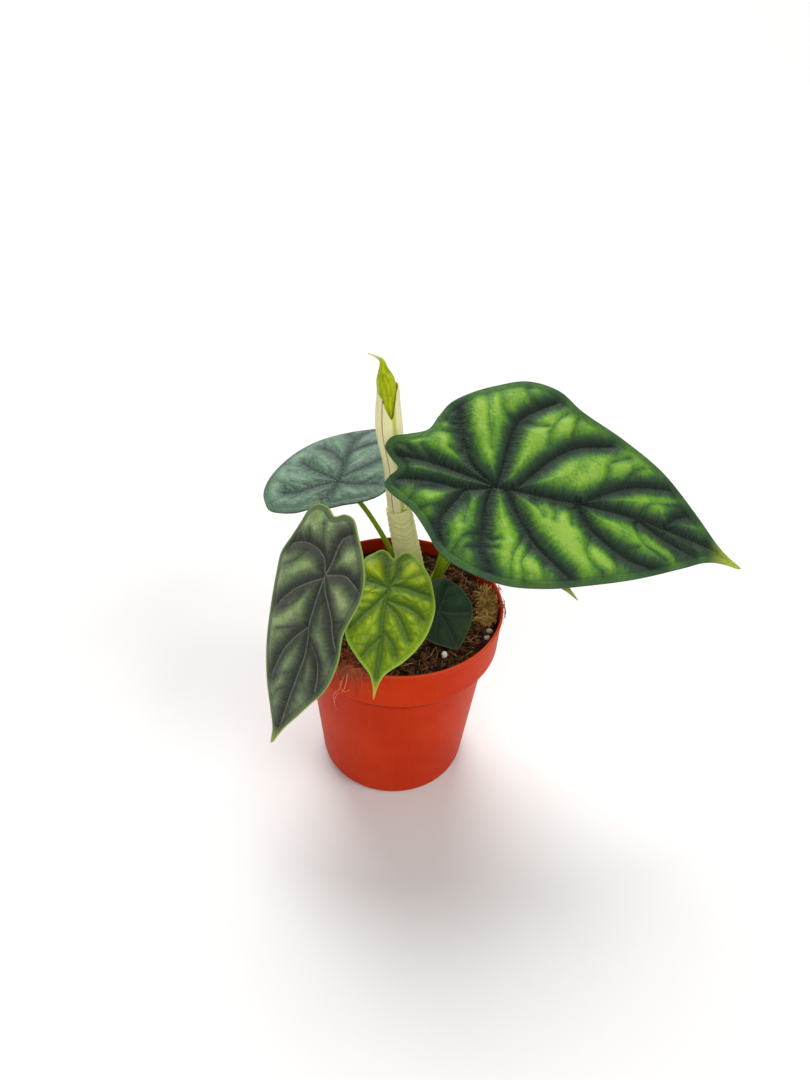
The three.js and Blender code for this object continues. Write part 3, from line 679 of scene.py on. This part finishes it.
looks = {  # shades run from the veins to the middle of a cell; each look also gives the colour and strength of the painted sheen and how far the painted shade darkens
    "bright": {
        "shades": [(0.01, 0.026, 0.016), (0.035, 0.1, 0.028), (0.11, 0.29, 0.022), (0.29, 0.5, 0.06)],
        "line": (0.008, 0.018, 0.012), "lineShare": 0.9, "edge": (0.0288, 0.09, 0.0288),
        "rim": (0.05, 0.09, 0.035), "warm": (0.2, 0.42, 0.02), "tip": (0.4, 0.5, 0.04),
        "under": (0.2, 0.32, 0.12), "paintedSheenColour": (0.07, 0.1, 0.07), "dark": 1.75, "comb": 1,
        "gloss": 0.42, "sheen": 0.26, "paintedShadeLevel": 0.45, "paintedSheen": 0.4,
    },
    "grey": {
        "shades": [(0.026, 0.034, 0.022), (0.075, 0.098, 0.055), (0.145, 0.205, 0.085), (0.33, 0.44, 0.18)],
        "line": (0.36, 0.4, 0.28), "lineShare": 0.4, "edge": (0.1, 0.16, 0.06),
        "rim": (0.3, 0.42, 0.09), "warm": (0.2, 0.32, 0.09), "tip": (0.36, 0.43, 0.1),
        "under": (0.2, 0.28, 0.13), "paintedSheenColour": (0.14, 0.15, 0.115), "dark": 1.7, "comb": 1,
        "gloss": 0.42, "sheen": 0.35, "paintedShadeLevel": 0.3, "paintedSheen": 0.45,
    },
    "bluish": {
        "shades": [(0.04, 0.08, 0.055), (0.09, 0.17, 0.115), (0.15, 0.26, 0.17), (0.22, 0.36, 0.24)],
        "line": (0.04, 0.075, 0.055), "lineShare": 0.5, "edge": (0.08, 0.16, 0.09),
        "rim": (0.07, 0.12, 0.07), "warm": (0.12, 0.22, 0.11), "tip": (0.2, 0.35, 0.1),
        "under": (0.2, 0.3, 0.16), "paintedSheenColour": (0.16, 0.24, 0.18), "dark": 1.2, "comb": 0.9,
        "gloss": 0.36, "sheen": 0.4, "paintedShadeLevel": 0.5, "paintedSheen": 0.5,
    },
    "young": {
        "shades": [(0.055, 0.115, 0.002), (0.14, 0.235, 0.003), (0.27, 0.4, 0.005), (0.5, 0.63, 0.02)],
        "line": (0.1, 0.22, 0.008), "lineShare": 0.5, "edge": (0.2, 0.4, 0.012),
        "rim": (0.38, 0.55, 0.09), "warm": (0.3, 0.48, 0.008), "tip": (0.5, 0.42, 0.04),
        "under": (0.3, 0.45, 0.08), "paintedSheenColour": (0.24, 0.38, 0.06), "dark": 0.9, "comb": 0.4,
        "gloss": 0.3, "sheen": 0.25, "paintedShadeLevel": 0.4, "paintedSheen": 0.4,
    },
    "dark": {
        "shades": [(0.011, 0.03, 0.012), (0.016, 0.042, 0.015), (0.022, 0.06, 0.02), (0.032, 0.08, 0.026)],
        "line": (0.045, 0.085, 0.045), "lineShare": 0.3, "edge": (0.025, 0.07, 0.02),
        "rim": (0.06, 0.12, 0.06), "warm": (0.03, 0.08, 0.02), "tip": (0.04, 0.09, 0.03),
        "under": (0.15, 0.25, 0.1), "paintedSheenColour": (0.05, 0.08, 0.05), "dark": 1.2, "comb": 0.3,
        "gloss": 0.42, "sheen": 0.2, "paintedShadeLevel": 0.4, "paintedSheen": 0.4,
    },
}


def leafFinish(name, look, band):
    f = Finish(name, look["sheen"])
    away, edge = f.stored("veinAway"), f.stored("edgeAway")
    veinlet, shaded = f.stored("veinletAway"), f.stored("shaded")
    flat = f.stored("flat", "Vector")
    combed = f.cloud(f.vector(f.stored("veinAlong"), away * 0.16, 0), 0.9, 2, 0.6)
    cloudy = f.cloud(flat, 0.08, 3, 0.55)
    pebbles = f.cloud(flat, 0.85, 3, 0.7)
    reach = look["dark"] * (0.65 + 0.35 * look["comb"] * combed + 0.5 * cloudy)
    lit = f.ease(away / reach, 0.1, 5)
    streaks = f.ease(combed, 0.42, 0.68) * f.ease(away, 0.5, 4 * look["dark"], 0.72 * look["comb"], 0)
    # painted shade: darker on the slopes beside the veins that face away from the light
    lit = lit * f.ease(shaded, 0, 0.6, 1, look["paintedShadeLevel"])
    # streaks, then darker along the veinlets: a thin line of their own colour and a wider halo of painted
    # shade in their valleys
    lit = lit * (1 - streaks) * f.ease(veinlet, 0.1, 0.7, 0.72, 1) * f.ease(veinlet, 0.3, 3.6, 0.68, 1)
    lit = lit * f.ease(edge, band - 1, 2.6 * band, 0.62, 1)
    lit = lit * f.ease(cloudy, 0.3, 0.7, 0.66, 1.14) + (pebbles - 0.5) * 0.85 * lit
    stops = list(zip((0, 0.28, 0.62, 0.98), look["shades"]))
    colour = f.node("ShaderNodeValToRGB", {"stops": stops}, {"Fac": lit})
    colour = f.mix(f.ease(f.cloud(flat, 0.13, 2), 0.5, 0.7, 0, 0.55) * lit, colour, look["warm"])
    # painted sheen: a greyer colour on the slopes beside the veins that face the light
    paintedSheen = f.ease(shaded, -0.6, 0, look["paintedSheen"], 0) * f.ease(lit, 0.1, 0.75, 1, 0)
    colour = f.mix(paintedSheen, colour, look["paintedSheenColour"])
    colour = f.mix(f.ease(away, 0.12, 0.5, look["lineShare"], 0), colour, look["line"])
    colour = f.mix(f.ease(edge, band - 1.6, band + 0.2, 0.65, 0), colour, look["edge"])
    colour = f.mix(f.ease((edge - band).size(), 0.1, 0.7, 0.3, 0), colour, look["shades"][0])
    colour = f.mix(f.ease(edge, 0.15, 0.7, 0.85, 0), colour, look["rim"])
    colour = f.mix(f.stored("tip"), colour, look["tip"])
    rough = look["gloss"] + pebbles * 0.16 - lit * 0.04
    wrinkles = f.ease(combed, 0.3, 0.7) * f.ease(away, 0.4, look["dark"] * 2.4, look["comb"], 0)
    normal = f.bump(pebbles, 0.42, f.bump(wrinkles, 0.55, f.bump(f.cloud(flat, 0.3, 3), 0.8)))
    return f.give(colour, rough, normal)


def undersideFinish(name, look):
    f = Finish(name)
    away, flat = f.stored("veinAway"), f.stored("flat", "Vector")
    pale = look["under"]
    dim = tuple(0.62 * k for k in pale)
    colour = f.mix(f.ease(f.cloud(flat, 0.12, 3), 0.3, 0.7), pale, dim)
    colour = f.mix(f.ease(f.stored("veinletAway"), 0.2, 1.2, 0.5, 0), colour, (0.34, 0.42, 0.2))
    colour = f.mix(f.ease(away, 0.7, 2.2, 0.85, 0), colour, (0.28, 0.2, 0.12))
    normal = f.bump(f.cloud(flat, 0.8, 3), 0.15, f.bump(f.ease(away, 0.5, 2.4, 1, 0), 0.5))
    return f.give(colour, f.cloud(flat, 0.5, 2) * 0.15 + 0.48, normal)


def petioleFinish():
    f = Finish("leaf stalk", 0.08)
    grain, up = f.stored("grain", "Vector"), f.stored("up")
    long = f.cloud(f.stretch(grain, (1.6, 1.6, 0.06)), 1, 3, 0.6)
    specks = f.ease(f.cloud(grain, 1.1, 2), 0.6, 0.75)
    colour = f.mix(f.ease(long, 0.3, 0.7), (0.19, 0.31, 0.004), (0.3, 0.43, 0.012))
    colour = f.mix(f.ease(up, 0, 0.25, 0.7, 0), colour, (0.32, 0.35, 0.1))
    colour = f.mix(specks * 0.4, colour, (0.09, 0.13, 0.02))
    normal = f.bump(long, 0.14, f.bump(f.cloud(grain, 0.7, 2), 0.1))
    return f.give(colour, long * 0.12 + 0.34, normal)


def makeLeaf(name, leaf, look, seed):
    bm = bmesh.new()
    bend(bm, leaf["around"], leaf["rings"], bladeLayout(leaf, seed))
    face = leafFinish(f"{name} face", looks[look], leaf["band"])
    piece = finished(f"{name}Blade", bm, [face, undersideFinish(f"{name} underside", looks[look])],
                     f"blade_{name}")
    thicken(piece, blade["wall"], backing=1)
    bm = bmesh.new()
    radii = [leaf["foot"] * blade["stalkFlare"], leaf["foot"], leaf["neck"], leaf["neck"]]
    under = (np.array(leaf["at"]), leafTurn(leaf)[:, 2], blade["stalkGap"])
    stem(bm, leaf["petiole"], radii, 24, 60, ends=(0.5, 0.65), under=under)
    finished(f"{name}Petiole", bm, [stalkFinish], f"petiole_{name}")


stalkFinish = petioleFinish()
makeLeaf("big", bigLeaf, "bright", 3)
makeLeaf("front", frontLeaf, "grey", 5)
makeLeaf("back", backLeaf, "bluish", 8)
makeLeaf("young", youngLeaf, "young", 13)
makeLeaf("small", smallLeaf, "dark", 21)
makeLeaf("hidden", hiddenLeaf, "bright", 34)


print("rolled leaf")
spear = {
    "roll": [(8.8, 13, 99), (3.6, 15, 122), (-2.2, 18, 148), (-4.6, 19.5, 170), (-7.8, 20.5, 188),
             (-8.7, 21, 200), (-9, 21, 211)],
    "rollRadii": [4.6, 5.1, 5.3, 5.4, 5.6, 6.3, 5],
    "sheath": [(10.2, 12.5, 92), (8.8, 13, 99), (3.6, 15, 122), (-2.2, 18, 148)],
    "sheathRadii": [5.4, 6.6, 6.6, 6.2],
    "heart": [(-7.8, 20.3, 184), (-8.8, 20.6, 198), (-9.7, 20.4, 210), (-11.1, 20.4, 218), (-12, 20.4, 222),
              (-14.5, 20.4, 223.8), (-18, 20.5, 225)],
    "heartRadii": [1.5, 3, 4, 4.1, 4, 4.3, 3.9, 2, 0.7, 0.35],
    "seam": -116, "valley": -61,  # in degrees round the roll, as the first of each pair in the lip
    "lip": [(-180, 209.5), (-150, 208.5), (-118, 205), (-95, 200), (-72, 195.8), (-62, 196.5), (-52, 202),
            (-35, 208), (0, 211), (90, 211.5), (180, 209.5)],
    "wall": 0.7, "seamDepth": 0.5, "valleyDepth": 0.7,
    "heartCrease": 0.45, "sheathRings": 0.16, "sheathRibs": 0.12,
}


def turnOf(out):  # degrees round the stem, -90 at the front
    return np.degrees(np.arctan2(out[:, 1], out[:, 0]))


def degreesFrom(turn, place):
    return (turn - place + 540) % 360 - 180


def creamFinish():
    f = Finish("rolled leaf outside", 0.15)
    grain, seam = f.stored("grain", "Vector"), f.stored("seamAway")
    valley, up = f.stored("valleyAway"), f.stored("up")
    long = f.cloud(f.stretch(grain, (1.3, 1.3, 0.1)), 1, 4, 0.6)
    fleck = f.ease(f.cloud(grain, 0.9, 3), 0.55, 0.75)
    colour = f.mix(f.ease(long, 0.3, 0.7), (0.84, 0.79, 0.38), (0.94, 0.91, 0.56))
    colour = f.mix(fleck * 0.35, colour, (0.6, 0.6, 0.2))
    colour = f.mix(f.ease(valley, 0.3, 1.6, 0.85, 0), colour, (0.5, 0.53, 0.05))
    colour = f.mix(f.ease(seam, 0.15, 0.55, 0.9, 0), colour, (0.3, 0.13, 0.05))
    colour = f.mix(f.ease(up, 0.1, 0.35, 0.5, 0), colour, (0.66, 0.66, 0.2))
    return f.give(colour, long * 0.1 + 0.42, f.bump(long, 0.25))


def heartFinish():
    f = Finish("new leaf heart", 0.15)
    grain, up = f.stored("grain", "Vector"), f.stored("up")
    long = f.cloud(f.stretch(grain, (0.8, 0.8, 0.12)), 1, 3, 0.6)
    net = f.cloud(grain, 0.8, 3, 0.6)
    colour = f.mix(f.ease(long, 0.35, 0.65), (0.26, 0.35, 0.002), (0.5, 0.57, 0.004))
    colour = f.mix(f.ease(net, 0.5, 0.7, 0, 0.4), colour, (0.2, 0.3, 0.002))
    colour = f.mix(f.ease(up, 0.84, 0.97), colour, (0.75, 0.74, 0.4))
    return f.give(colour, long * 0.15 + 0.32, f.bump(long, 0.5, f.bump(net, 0.2)))


def sheathFinish():
    f = Finish("papery sheath", 0.15)
    grain, up = f.stored("grain", "Vector"), f.stored("up")
    long = f.cloud(f.stretch(grain, (1.2, 1.2, 0.1)), 1, 4, 0.65)
    at = f.place()
    y = f.node("ShaderNodeSeparateXYZ", inputs={0: at}, output=1)
    z = f.node("ShaderNodeSeparateXYZ", inputs={0: at}, output=2)
    creases = f.cloud(f.vector(0, y * 0.02, z - y * 0.6), 0.3, 3, 0.6)
    colour = f.mix(f.ease(long, 0.3, 0.7), (0.9, 0.87, 0.36), (0.95, 0.93, 0.5))
    colour = f.mix(f.ease((creases - 0.5).size(), 0, 0.05, 0.5, 0), colour, (0.6, 0.52, 0.16))
    colour = f.mix(f.ease(up, 0.2, 0.7, 0.85, 0), colour, (0.94, 0.92, 0.03))
    normal = f.bump(creases, 0.8, f.bump(long, 0.3))
    return f.give(colour, creases * 0.15 + 0.5, normal)


def makeSpear():
    sides, steps = 96, 150
    path, heading, first, second = alongRoute(spear["roll"], steps)
    size = evenly(spear["rollRadii"], steps + 1)
    gone = lengthAlong(path)

    rings = np.arange(steps + 1)
    middle = int(steps * 0.88)  # the ring whose directions say where the front is

    def place(u, v):
        angle = angleOf(u, sides)
        turn = turnOf(first[middle] * np.cos(angle)[:, None] + second[middle] * np.sin(angle)[:, None])
        top = np.interp(turn, *zip(*spear["lip"]))
        level = path[0, 2] + (top - path[0, 2]) * np.rint(v * steps) / steps
        share = np.interp(level, path[:, 2], rings)
        spots, one, two = (
            np.stack([np.interp(share, rings, row) for row in rows.T], 1) for rows in (path, first, second))
        fromSeam, fromValley = degreesFrom(turn, spear["seam"]), degreesFrom(turn, spear["valley"])
        radius = np.interp(share, rings, size)
        radius = radius - spear["seamDepth"] * np.where(fromSeam < 0, np.exp(-np.abs(fromSeam) / 40), 0)
        radius = radius - spear["valleyDepth"] * np.exp(-(fromValley / 11) ** 2)
        out = one * np.cos(angle)[:, None] + two * np.sin(angle)[:, None]
        far = np.interp(share, rings, gone)
        perDegree = np.radians(1) * radius
        return spots + out * radius[:, None], {
            "grain": np.stack([radius * np.cos(angle), radius * np.sin(angle), far], 1), "up": far / gone[-1],
            "seamAway": np.abs(fromSeam) * perDegree, "valleyAway": np.abs(fromValley) * perDegree}

    bm = bmesh.new()
    bend(bm, sides, steps, place)
    piece = finished("spearRoll", bm, [creamFinish()], "spear_roll")
    thicken(piece, spear["wall"])

    def folds(out, far, share):
        crease = degreesFrom(turnOf(out), -100 - 60 * (share - 0.5))
        return -spear["heartCrease"] * np.exp(-(crease / 12) ** 2) * np.clip(4 * (0.9 - share), 0, 1)

    bm = bmesh.new()
    stem(bm, spear["heart"], spear["heartRadii"], 48, 120, ends=(1, 1), relief=folds)
    finished("spearHeart", bm, [heartFinish()], "spear_heart")

    def sheathRelief(out, far, share):
        turn = np.radians(turnOf(out))
        wave = np.sin(far * 2.1 + np.sin(turn) * 2.2) * np.clip(2 * share - 0.6, 0, 1)
        return spear["sheathRings"] * wave + spear["sheathRibs"] * np.sin(turn * 7 + far * 0.1)

    bm = bmesh.new()
    stem(bm, spear["sheath"], spear["sheathRadii"], 64, 90, ends=(0.2, -0.1), relief=sheathRelief)
    finished("spearSheath", bm, [sheathFinish()], "spear_sheath")


makeSpear()


print("old stalk and rhizome")
ground = {
    "stub": [(14.6, 18.4, 90), (16.5, 19, 104), (23, 21, 117), (28, 22, 124)],
    "stubRadii": [1, 0.85, 0.8, 0.7],
    "rhizome": [(6, 7, 48), (8, 9.5, 72), (10, 12, 96)],
    "rhizomeRadii": [5, 9.2, 8.6, 10.4, 9.6, 11.2, 10.4, 11.6, 11, 7],
    "roots": [
        [(9, 8, 74), (24, 2, 66), (33, -6, 50), (35, -12, 32)],
        [(6, 10, 70), (-10, 16, 62), (-22, 20, 46), (-27, 20, 26)],
        [(9, 12, 66), (18, 24, 58), (21, 28, 42), (19, 28, 22)],
        [(6, 6, 62), (-4, -12, 54), (-12, -24, 38), (-14, -28, 20)],
        [(5, 7, 56), (2, 4, 40), (8, 0, 24), (16, -4, 12)]],
    "rootRadii": [2.3, 1.7, 1.4, 0.6],
}


def strawFinish():
    f = Finish("dry stub")
    grain = f.stored("grain", "Vector")
    long = f.cloud(f.stretch(grain, (2, 2, 0.12)), 1, 4, 0.65)
    colour = f.mix(f.ease(long, 0.3, 0.7), (0.42, 0.35, 0.17), (0.7, 0.64, 0.42))
    return f.give(colour, long * 0.2 + 0.6, f.bump(long, 0.3))


def barkFinish():
    f = Finish("rhizome bark")
    grain = f.stored("grain", "Vector")
    rough = f.cloud(grain, 0.5, 4, 0.65)
    colour = f.mix(f.ease(rough, 0.3, 0.7), (0.09, 0.07, 0.03), (0.28, 0.26, 0.1))
    return f.give(colour, rough * 0.2 + 0.6, f.bump(rough, 0.8))


def makeCrown():
    bm = bmesh.new()
    stem(bm, ground["stub"], ground["stubRadii"], 16, 40, ends=(0.5, 0.2))
    finished("oldStalk", bm, [strawFinish()], "old_stalk")

    def scars(out, far, share):
        return 0.35 * np.sin(far * 1.9 + 0.6 * np.sin(3 * np.radians(turnOf(out))))

    bm = bmesh.new()
    stem(bm, ground["rhizome"], ground["rhizomeRadii"], 64, 90, ends=(0.6, 0.25), relief=scars)
    for root in ground["roots"]:
        stem(bm, root, ground["rootRadii"], 12, 40, ends=(0.5, 0.5))
    finished("rhizomeBark", bm, [barkFinish()], "rhizome")


makeCrown()


print("soil")
soil = {
    "level": 97, "gap": 0.45, "rough": 1.1, "crumbs": 1500, "fibres": 800, "perlite": 6, "inside": 49.6,
    "crown": (10, 12), "crownHole": 12.4, "crownEase": 3, "crownDepth": 7, "clear": 10.5,
    "crumbSizes": (0.5, 0.7, 0.9, 1.2, 1.6), "perliteSize": (1.2, 1.9), "clodSize": (0.8, 1.7),
    "fibreLength": (3, 13), "fibreRadius": (0.08, 0.2),
    "threadLength": (3, 6.5), "threadRadius": (0.14, 0.27),
    "perliteAt": [(22.8, -31.9, 98.5), (45.4, -14.7, 98.8), (21.3, 31.5, 98.5)],
    # each heap is its middle, how wide it is and how many shapes it has
    "moss": [(46.5, 3.5, 100, 5.5, 330), (44, -5, 99.5, 4, 150), (45, 12, 99.5, 4, 150)],
    "clods": [(46, 3, 99, 4.5, 40), (43.5, -5, 99, 4, 25), (44, 12, 99, 4, 25)],
    "wad": [(-21, -41, 100, 5, 210), (-13.5, -44, 100, 3.5, 120), (-18, -45.5, 102, 3, 110)],
    "drape": [(-124, -104, 120), (-6, 12, 12)],  # the first and last degree and how many strands
    "hairs": [
        [(-16.5, -44.5, 103), (-17.9, -47.6, 105.6), (-18.5, -49.6, 102), (-17.5, -49, 91), (-17, -49.1, 86)],
        [(-13, -46, 103), (-15, -48.6, 105.5), (-15.8, -50.6, 102), (-16, -49.7, 91.7), (-17.2, -49, 84)],
        [(-1, -46, 101), (-1.4, -50.5, 105), (-1.5, -53, 102.8), (-1.9, -52.4, 98.5)]],
    "curls": [
        [(-20, -42, 102), (-21, -47, 105.8), (-21.5, -48.6, 98), (-23.3, -46.8, 88), (-27.4, -39, 76),
         (-28.9, -37.4, 69), (-28.3, -37, 65), (-27, -37.2, 62.5)],
        [(-22, -41, 102), (-22.8, -46.2, 105.6), (-23.3, -47.3, 97), (-25, -46, 89), (-29, -39, 75),
         (-28.4, -37.6, 68)],
        [(-19.8, -43, 102), (-20.6, -47.4, 105.6), (-23.2, -47.6, 97), (-25, -46.3, 91.1), (-23, -47.3, 87.5),
         (-20, -48.6, 91)]],
}


def soilTop(x, y):
    wave = np.sin(0.31 * x + 1.3 * np.sin(0.17 * y)) * np.cos(0.27 * y - 0.6)
    wave = wave + 0.6 * np.sin(0.53 * x - 0.41 * y + 2) + 0.4 * np.cos(0.22 * x + 0.71 * y)
    fine = np.array([noise.fractal((a * 0.22, b * 0.22, 3.1), 0.7, 2.1, 4) for a, b in zip(x, y)])
    return soil["level"] + soil["rough"] * wave + 1.1 * fine


def earthFinish():
    f = Finish("damp peat", 0.15)
    at = f.place()
    lumps = f.cloud(at, 0.35, 6, 0.7)
    fine = f.cloud(at, 2.2, 4, 0.7)
    colour = f.mix(f.ease(lumps, 0.35, 0.65), (0.018, 0.008, 0.004), (0.08, 0.032, 0.012))
    colour = f.mix(f.ease(fine, 0.58, 0.75, 0, 0.6), colour, (0.22, 0.1, 0.035))
    return f.give(colour, fine * 0.2 + 0.75, f.bump(fine, 0.8, f.bump(lumps, 2.5)))


def toneFinish(name, dark, light, scale, depth, rough):
    f = Finish(name, 0.15)
    at, tone = f.place(), f.stored("tone")
    grain = f.cloud(at, scale, 4, 0.65)
    colour = f.mix(tone * 0.7 + grain * 0.3, dark, light)
    return f.give(colour, grain * 0.2 + rough, f.bump(grain, depth))


def scattered(count, reach=48.2):
    spots = []
    while len(spots) < count:
        radius, angle = reach * math.sqrt(chance.random()), 2 * math.pi * chance.random()
        x, y = radius * math.cos(angle), radius * math.sin(angle)
        if math.dist((x, y), soil["crown"]) > soil["clear"]:
            spots.append((x, y))
    spots = np.array(spots)
    return np.column_stack([spots, soilTop(spots[:, 0], spots[:, 1])])


def gathered(spots, make, share=30):  # in small lots, as each new shape takes longer in a full mesh
    whole = bmesh.new()
    for start in range(0, len(spots), share):
        lot = bmesh.new()
        layer = lot.verts.layers.float.new("tone")
        for spot in spots[start:start + share]:
            make(lot, spot, layer)
        mesh = meshFrom(lot, "lot")
        whole.from_mesh(mesh)
        bpy.data.meshes.remove(mesh)
    return whole


def lump(bm, at, size, tone, layer, fineness=1):
    turn = Euler([chance.uniform(0, 6.28) for _ in range(3)]).to_matrix().to_4x4()
    shape = Matrix.Diagonal([size * chance.uniform(0.6, 1.3) * mm for _ in range(3)]).to_4x4()
    made = bmesh.ops.create_icosphere(bm, subdivisions=fineness, radius=1,
                                      matrix=Matrix.Translation(Vector(at) * mm) @ turn @ shape)["verts"]
    for vert in made:
        vert.co += noise.noise_vector(vert.co * 600) * size * 0.45 * mm
        vert[layer] = tone


def fibre(bm, at, length, radius, heading, rise, tone, curl=1.2, sag=0.0):
    spot, points, knots = np.array(at, float), [], 6
    for _ in range(knots):
        spot[:2] *= min(1, soil["inside"] / np.hypot(*spot[:2]))
        points.append(spot.copy())
        heading += chance.uniform(-curl, curl) * 0.45
        rise += chance.uniform(-0.5, 0.5) * curl * 0.4 - sag
        way = [math.cos(rise) * math.cos(heading), math.cos(rise) * math.sin(heading), math.sin(rise)]
        spot = spot + length / (knots - 1) * np.array(way)
    stem(bm, points, [radius, radius, radius * 0.5], 4, knots, ends=(0.2, 0.2), tone=tone)


def makeSoil():
    wall = [(r - soil["gap"], z + soil["gap"]) for r, z in potInside()[1:]][::-1]
    top = pot["band"] - pot["wall"] - soil["gap"]
    rows = 60
    profile = [(0, pot["wall"] + soil["gap"])] + roundCorners(wall, 0.8, 3)
    profile += [(top * (1 - k / rows), soil["level"]) for k in range(rows + 1)]
    profile = np.array(profile)
    sides, high = 200, profile[:, 1] > soil["level"] - 1

    def place(u, v):
        k = np.rint(v * (len(profile) - 1)).astype(int)
        angle = angleOf(u, sides)
        x, y = profile[k, 0] * np.cos(angle), profile[k, 0] * np.sin(angle)
        z = profile[k, 1].copy()
        upper = high[k]
        z[upper] = soilTop(x[upper], y[upper])
        off = np.hypot(x - soil["crown"][0], y - soil["crown"][1])
        sunk = np.clip((soil["crownHole"] - off) / soil["crownEase"] + 0.5, 0, 1)
        z -= np.where(upper, soil["crownDepth"] * sunk, 0)
        return np.stack([x, y, z], 1), {}

    bm = bmesh.new()
    bend(bm, sides, len(profile) - 1, place)
    finished("soilBed", bm, [earthFinish()], "soil")

    def crumb(bm, spot, layer):
        size = chance.choice(soil["crumbSizes"])
        lump(bm, spot + (0, 0, 0.2 * size), size, chance.random() ** 1.6, layer, 2 if size > 1.1 else 1)

    bm = gathered(scattered(soil["crumbs"]), crumb)
    finish = toneFinish("peat crumbs", (0.018, 0.008, 0.004), (0.19, 0.08, 0.028), 1.4, 0.5, 0.75)
    finished("soilCrumbs", bm, [finish])

    def strand(bm, spot, layer):
        length, radius = chance.uniform(*soil["fibreLength"]), chance.uniform(*soil["fibreRadius"])
        heading, rise = chance.uniform(0, 6.28), chance.uniform(-0.1, 0.4)
        fibre(bm, spot + (0, 0, 0.6), length, radius, heading, rise, chance.random(), sag=0.08)

    bm = gathered(scattered(soil["fibres"], 47.5), strand)
    finish = toneFinish("coir fibres", (0.1, 0.035, 0.012), (0.62, 0.33, 0.12), 0.8, 0.1, 0.65)
    finished("soilFibres", bm, [finish])

    def grain(bm, spot, layer):
        lump(bm, spot + (0, 0, 0.8), chance.uniform(*soil["perliteSize"]), chance.random(), layer, 2)

    spots = np.vstack([scattered(soil["perlite"]), soil["perliteAt"]])
    finish = toneFinish("perlite", (0.5, 0.42, 0.33), (0.8, 0.76, 0.68), 1.2, 0.4, 0.8)
    finished("perliteGrains", gathered(spots, grain), [finish])

    def thread(bm, spot, layer):
        length, radius = chance.uniform(*soil["threadLength"]), chance.uniform(*soil["threadRadius"])
        heading, rise = chance.uniform(0, 6.28), chance.uniform(0, 1.2)
        fibre(bm, spot, length, radius, heading, rise, chance.random(), curl=2, sag=0.2)

    def clod(bm, spot, layer):
        lump(bm, spot - (0, 0, 0.8), chance.uniform(*soil["clodSize"]), chance.random(), layer)

    def heap(patches):
        spots = []
        for x, y, z, wide, count in patches:
            for _ in range(count):
                reach, turn = wide * math.sqrt(chance.random()), 2 * math.pi * chance.random()
                rise = chance.uniform(0, 1) * (1 - (reach / wide) ** 2)
                spots.append((x + reach * math.cos(turn), y + reach * math.sin(turn), z + 4 * rise))
        return np.array(spots)

    finish = toneFinish("moss", (0.12, 0.06, 0.015), (0.8, 0.54, 0.16), 0.9, 0.1, 0.75)
    finished("mossTuft", gathered(heap(soil["moss"]), thread), [finish])
    finished("mossClods", gathered(heap(soil["clods"]), clod), [finish])
    finish = toneFinish("coir wad", (0.12, 0.016, 0.006), (0.8, 0.24, 0.1), 0.9, 0.1, 0.7)
    finished("coirWad", gathered(heap(soil["wad"]), thread), [finish])

    def drape(bm, spot, layer):  # a strand that hangs over the lip
        swing, low = math.radians(chance.uniform(-14, 14)), 102.5 - 13 * chance.random() ** 3
        turn, lift = math.radians(spot), chance.uniform(0, 1.6)
        route = [(46, 100, 0), (49.8, 104.6, 0.3), (51.8, 105.3 + lift, 0.1), (53.2 + 0.4 * lift, 103.4, 0.7),
                 (53.1, (low + 103) / 2, 0.4), (53.2, low, 1)]
        stem(bm, [(r * math.cos(turn + k * swing), r * math.sin(turn + k * swing), z) for r, z, k in route],
             [0.1, 0.15, 0.13, 0.06], 4, 12, ends=(0.2, 0.2), tone=chance.random())

    angles = [chance.uniform(low, high) for low, high, count in soil["drape"] for _ in range(count)]
    finished("coirDrape", gathered(angles, drape), [finish])

    bm = bmesh.new()
    for route in soil["hairs"]:
        stem(bm, route, [0.13, 0.15, 0.12, 0.08], 5, 26, ends=(0.2, 0.2), tone=0.2)
    for route in soil["curls"]:
        stem(bm, route, [0.2, 0.25, 0.2, 0.12], 5, 26, ends=(0.2, 0.2), tone=1.0)
    finish = toneFinish("coir hairs", (0.08, 0.01, 0.006), (0.95, 0.3, 0.15), 0.8, 0.1, 0.65)
    finished("hangingHairs", bm, [finish])


makeSoil()

print("finishing")
